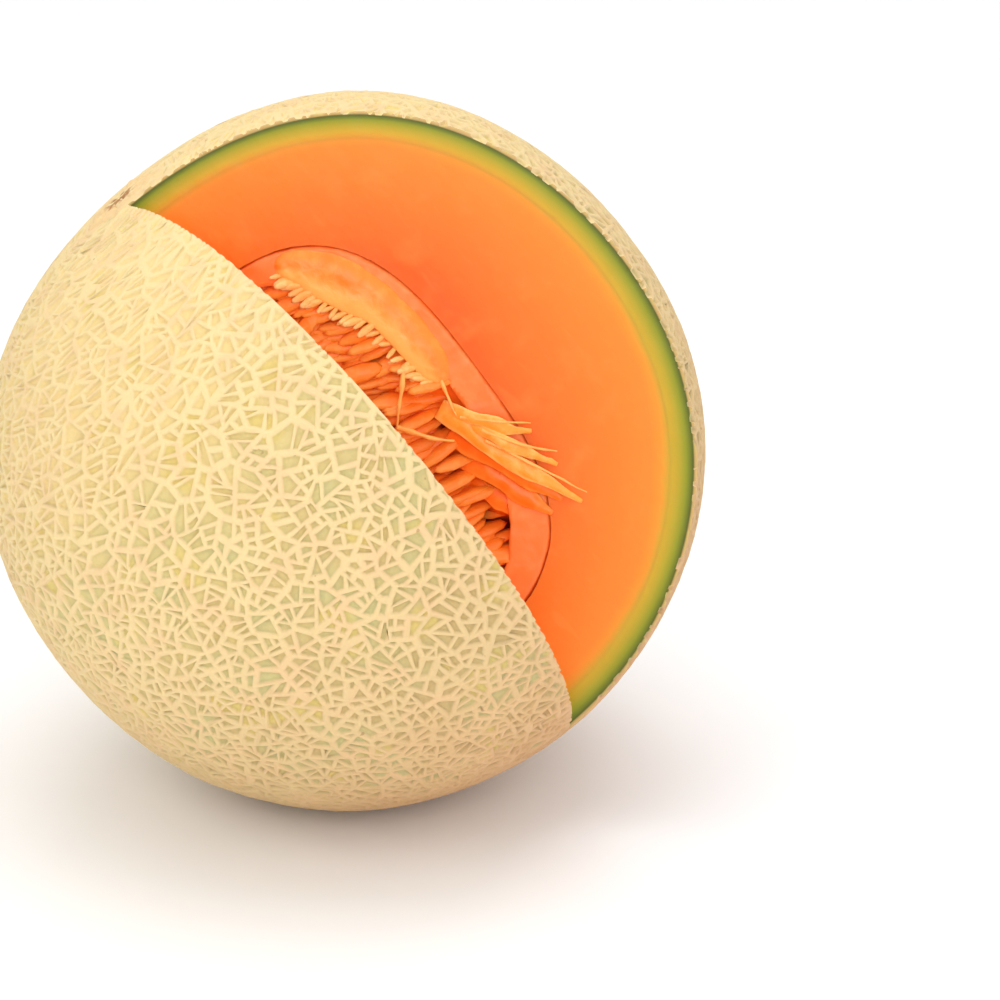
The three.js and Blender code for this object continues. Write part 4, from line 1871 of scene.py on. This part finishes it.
    def _lobe_edge(self, face: CutFace, up: float) -> float:
        """Gives how far out a lobe's inner edge lies at a height on a cut face.

        Args:
            face: The cut face.
            up: The height along the fruit's axis.

        Returns:
            The distance from the axis.
        """
        if face is CutFace.FAR:
            line = np.array(self.lobe_inner)[::-1] * MM
            return float(np.interp(up, line[:, 1], line[:, 0]))
        return float(self.fruit.cavity_reach(face, np.array([up]), 8 * MM)[0])

    def _band(self, face: CutFace, shares: np.ndarray) -> tuple[np.ndarray, np.ndarray]:
        """Lays a lobe's band along the cavity's edge on a cut face.

        Args:
            face: Which cut face.
            shares: Places along the band, nought at the stem end and one at the other.

        Returns:
            The outer and the inner edge, each as rows of out and up.
        """
        if face is CutFace.FAR:
            return follow(self.lobe_outer, shares) * MM, follow(self.lobe_inner, shares) * MM
        ups = (42.0 - 84.0 * shares) * MM
        outer = self.fruit.cavity_reach(face, ups, self.crevice + 0.3 * MM)
        taper = np.sqrt(np.clip(np.minimum(shares, 1 - shares) / 0.22, 0, 1))
        width = np.minimum(7.5 * MM * taper, np.maximum(outer - 1.0 * MM, 0.4 * MM))
        return np.column_stack([outer, ups]), np.column_stack([outer - width, ups])

    def _lobe(self, face: CutFace) -> bpy.types.Object:
        """Makes the pale lobe of pulp that the knife sliced along the cavity's edge.

        Args:
            face: Which cut face.

        Returns:
            The piece.
        """
        piece = Bench.grid(f"pulp_lobe_{face.name.lower()}", 64, 14)
        shares = Bench.coords(piece)
        outer, inner = self._band(face, shares[:, 0])
        across = shares[:, 1:2]
        slope = np.where(across < 0.5, np.abs(2 * across - 1) ** 3.0, 0.45 * np.abs(2 * across - 1) ** 4.0)
        ends = np.clip(np.minimum(shares[:, :1], 1 - shares[:, :1]) / 0.05, 0, 1) ** 0.5
        steps = np.hstack([outer + (inner - outer) * across, (-1.5 + 1.4 * (1 - slope) * ends) * MM])
        steps[:, 2] += bumps(steps, (0.3 * MM, 260, 1.0), (0.12 * MM, 900, 2.0))
        Bench.move(piece, self.fruit.place(self.fruit.on_face(face, steps)))
        Bench.mark(piece, "tip_and_painted_shade", np.clip(1.5 * shares[:, 1] - 0.32, 0, 1))
        return self._thickened(piece, 2.4 * MM)

    def _thickened(self, piece: bpy.types.Object, thickness: float) -> bpy.types.Object:
        """Gives a sheet its thickness and rounds it off.

        Args:
            piece: The sheet.
            thickness: How thick it is.

        Returns:
            The same piece.
        """
        Bench.apply(piece, "SOLIDIFY", thickness=thickness, offset=0.0)
        Bench.outward(piece)
        Bench.apply(piece, "SUBSURF", levels=1, render_levels=1)
        Bench.smooth(piece)
        return piece

    def _fringe(self, face: CutFace) -> bpy.types.Object:
        """Hangs small blunt teeth along a lobe's inner edge.

        Args:
            face: Which cut face.

        Returns:
            The piece.
        """
        rng = np.random.default_rng(self.seed + 3)
        count = self.teeth_far if face is CutFace.FAR else self.teeth_near
        shares = (np.arange(count) + 0.5 * rng.random(count)) / count * 0.95 + 0.03
        axes = self.fruit.face_axes(face)
        _, inner = self._band(face, shares)
        places = []
        for number, (out, up) in enumerate(inner):
            size = rng.uniform(*self.tooth_sizes)
            lift = rng.uniform(*self.tooth_lifts_mm) * MM
            centre = self.fruit.on_face(face, np.array([[out - 0.9 * MM, up + 0.2 * MM, lift]]))[0]
            along = np.array([-1.0, 0.3 + 0.25 * rng.normal(), 0.14 + 0.1 * rng.normal()]) @ axes
            flat = np.array([0.0, 0.2 * rng.normal(), 1.0]) @ axes
            places.append(SeedPlace(centre, along, flat, size))
            if number % 4 == 0:
                deeper = centre - axes[2] * 1.3 * MM - axes[0] * 0.9 * MM
                places.append(SeedPlace(deeper, along, flat, size * 0.9))
        return self._copies(f"pulp_fringe_{face.name.lower()}", self.tooth_half, places, self.tooth_swell)

    def _flap(self, name: str, routes: Sequence[tuple[Route, float]]) -> bpy.types.Object:
        """Makes strips of torn pulp that lie over the cavity's edge onto the far face.

        Args:
            name: The piece's name.
            routes: The line that each strip follows, and its width.

        Returns:
            The piece.
        """
        strips = []
        for number, (route, width) in enumerate(routes):
            strip = Bench.grid(f"strip_{number}", 36, 10)
            shares = Bench.coords(strip)
            along, across = shares[:, 0], shares[:, 1] - 0.5
            line = follow(route, along) * MM
            ahead = follow(route, np.minimum(along + 0.01, 1.0))
            ahead = ahead - follow(route, np.maximum(along - 0.01, 0.0))
            side = units(np.column_stack([-ahead[:, 1], ahead[:, 0], np.zeros(len(ahead))]))
            taper = (1 - 0.8 * along**2.5) * (0.85 + 0.2 * np.sin(11 * along + number))
            edges = np.column_stack([across * 0.1, along * 0.03, along * 0])
            ragged = 1 + 0.5 * waver(edges, 300, number) * along
            steps = line + side * (across * width * MM * taper * ragged)[:, None]
            steps[:, 2] += 0.09 * width * MM * np.cos(across * 4.2) * taper
            steps[:, 2] += 0.35 * MM * waver(steps, 380, 2.0 + number) * (0.4 + along)
            Bench.move(strip, self.fruit.place(self.fruit.on_face(CutFace.FAR, steps)))
            Bench.mark(strip, "tip_and_painted_shade", np.clip(3.2 * np.abs(across) - 0.7, 0, 1))
            strips.append(self._thickened(strip, 0.8 * MM))
        piece = Bench.join(name, strips)
        Bench.smooth(piece)
        return piece

    def _strands(self) -> bpy.types.Object:
        """Draws the loose threads of pulp round the torn place.

        Returns:
            The piece.
        """
        made = []
        for number, (route, thickness) in enumerate(self.threads):
            curve = bpy.data.curves.new(f"thread_{number}", "CURVE")
            curve.dimensions = "3D"
            curve.bevel_depth = thickness * MM
            curve.bevel_resolution = 2
            curve.use_fill_caps = True
            spline = curve.splines.new("POLY")
            shares = np.linspace(0, 1, 22)
            steps = follow(route, shares) * MM
            steps += np.column_stack([0.25 * MM * waver(steps, 260, k + number) for k in (1.0, 5.0, 9.0)])
            placed = self.fruit.place(self.fruit.on_face(CutFace.FAR, steps))
            spline.points.add(len(placed) - 1)
            for share, knot, place in zip(shares, spline.points, placed):
                knot.co = (*place, 1.0)
                knot.radius = (1.1 - 0.75 * share) * (1 + 0.2 * math.sin(17 * share + number))
            thread = bpy.data.objects.new(f"thread_{number}", curve)
            bpy.context.scene.collection.objects.link(thread)
            Bench.hold(thread)
            bpy.ops.object.convert(target="MESH")
            made.append(bpy.context.view_layer.objects.active)
        piece = Bench.join("pulp_strands", made)
        Bench.mark(piece, "tip_and_painted_shade", np.zeros(len(piece.data.vertices)))
        Bench.smooth(piece)
        return piece


@dataclass
class StemScar:
    """The corky scar where the stem parted: a low lip round a sunken, cracked middle."""

    fruit: Fruit
    radius: float = 9.6 * MM
    lip: float = 0.3 * MM
    thickness: float = 2.4 * MM
    rings: int = 16

    def build(self) -> bpy.types.Object:
        """Builds the scar.

        Returns:
            The piece.
        """
        Bench.clear()
        bpy.ops.mesh.primitive_circle_add(vertices=72, radius=self.radius, fill_type="NGON")
        piece = Bench.named("stem_scar_cork")
        Bench.edit(piece)
        for _ in range(self.rings):
            bpy.ops.mesh.inset(thickness=0.94 * self.radius / self.rings, depth=0.0)
        bpy.ops.mesh.poke()
        Bench.done()
        points = Bench.coords(piece)
        share = np.hypot(points[:, 0], points[:, 1]) / self.radius
        turn = np.arctan2(points[:, 1], points[:, 0])
        points[:, :2] *= (1 + 0.06 * np.cos(5 * turn + 1) * share)[:, None]
        ways = units(np.column_stack([points[:, :2], np.full(len(points), 73 * MM)]))
        lip = self.lip * np.exp(-(((share - 0.78) / 0.16) ** 2))
        lip = lip - 0.9 * MM * np.clip((share - 0.86) / 0.14, 0, 1)
        crack = 1.3 * MM * np.cos(9 * turn + 4 * waver(points, 130)) * share * (1 - share)
        rough = bumps(points, (0.45 * MM, 420, 1.0), (0.3 * MM, 1100, 2.0))
        height = lip + crack + rough - 0.1 * MM
        Bench.move(piece, self.fruit.place(ways * (self.fruit.outline(ways) + height)[:, None]))
        Bench.mark(piece, "tip_and_painted_shade", np.clip(1.25 - 1.9 * share, 0, 1))
        Bench.apply(piece, "SOLIDIFY", thickness=self.thickness, offset=-1.0)
        Bench.outward(piece)
        Bench.cut(piece, Tools(self.fruit).wedge())
        Bench.smooth(piece, 50)
        Bench.dress(piece, CorkFinish().make(self.fruit))
        return Bench.fit(piece, "stem_scar", "stem_scar")


@dataclass
class Studio:
    """Pale floor, soft light and the camera; pixels are of a frame of 1000 by 1000."""

    fruit: Fruit
    distance: float = 0.9
    elevation: float = math.radians(20.0)
    pixels_per_metre: float = 4674.0
    fruit_pixel: tuple[float, float] = (348.5, 453.5)
    daylight: float = 0.76
    frame_pixels: float = 1000.0
    sensor: float = 36.0
    lights: tuple[tuple[str, tuple[float, float, float], float, float], ...] = (
        ("key", (-0.75, -0.8, 0.95), 0.7, 2.6),
        ("front", (0.05, -1.0, 0.48), 0.45, 2.7),
        ("fill", (0.7, -1.0, 0.8), 1.2, 1.2),
        ("top", (0.05, 0.2, 1.35), 1.2, 7.2),
    )

    def build(self) -> None:
        """Sets up the floor, the lights, the background and the camera."""
        Bench.clear()
        bpy.ops.mesh.primitive_plane_add(size=8.0, location=(0, 0, 0))
        floor = Bench.dress(Bench.named("studio_floor"), FloorFinish().make(self.fruit))
        floor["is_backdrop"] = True
        self._camera()
        for light in self.lights:
            self._light(*light)
        world = bpy.data.worlds.new("studio")
        world.use_nodes = True
        background = world.node_tree.nodes["Background"]
        background.inputs["Color"].default_value = (1.0, 1.0, 1.0, 1.0)
        background.inputs["Strength"].default_value = self.daylight
        bpy.context.scene.world = world
        bpy.context.scene.view_settings.view_transform = "Standard"

    def _camera(self) -> None:
        """Places the camera so that the fruit falls on its pixel."""
        up = Vector((0.0, math.sin(self.elevation), math.cos(self.elevation)))
        back = Vector((0.0, -math.cos(self.elevation), math.sin(self.elevation)))
        side = (self.frame_pixels / 2 - self.fruit_pixel[0]) / self.pixels_per_metre
        rise = (self.fruit_pixel[1] - self.frame_pixels / 2) / self.pixels_per_metre
        data = bpy.data.cameras.new("camera")
        data.sensor_width = self.sensor
        data.lens = self.sensor * self.pixels_per_metre * self.distance / self.frame_pixels
        data.clip_start, data.clip_end = 0.05, 50.0
        camera = bpy.data.objects.new("camera", data)
        camera.location = Vector(self.fruit.centre) + Vector((side, 0, 0)) + up * rise + back * self.distance
        camera.rotation_euler = (math.pi / 2 - self.elevation, 0.0, 0.0)
        bpy.context.scene.collection.objects.link(camera)
        bpy.context.scene.camera = camera

    def _light(self, name: str, place: tuple[float, float, float], size: float, watts: float) -> None:
        """Hangs a soft square light that looks at the fruit.

        Args:
            name: The light's name.
            place: Where it hangs.
            size: Its side.
            watts: Its power.
        """
        data = bpy.data.lights.new(name, "AREA")
        data.size = size
        data.energy = watts
        lamp = bpy.data.objects.new(name, data)
        lamp.location = place
        aim = Vector(self.fruit.centre) - Vector(place)
        lamp.rotation_euler = aim.to_track_quat("-Z", "Y").to_euler()
        bpy.context.scene.collection.objects.link(lamp)


def plain(box: Sequence[Vector]) -> list[list[float]]:
    """Gives a box's two corners as plain numbers."""
    return [[float(x) for x in corner] for corner in box]


def main() -> None:
    """Builds every piece in order."""
    logging.basicConfig(level=logging.INFO, format="%(message)s")
    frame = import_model()
    cad_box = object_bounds()
    LOG.info("solids to dress: %s", ", ".join(sorted(frame["nodes"])))
    fruit = Fruit()
    flesh = FleshFinish().make(fruit)
    Rind(fruit).build(flesh)
    Flesh(fruit).build(flesh)
    SeedMass(fruit).build()
    StemScar(fruit).build()
    Studio(fruit).build()
    Bench.clear()
    {"cad": plain(cad_box), "visual": plain(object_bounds())}


if __name__ == "__main__":
    main()
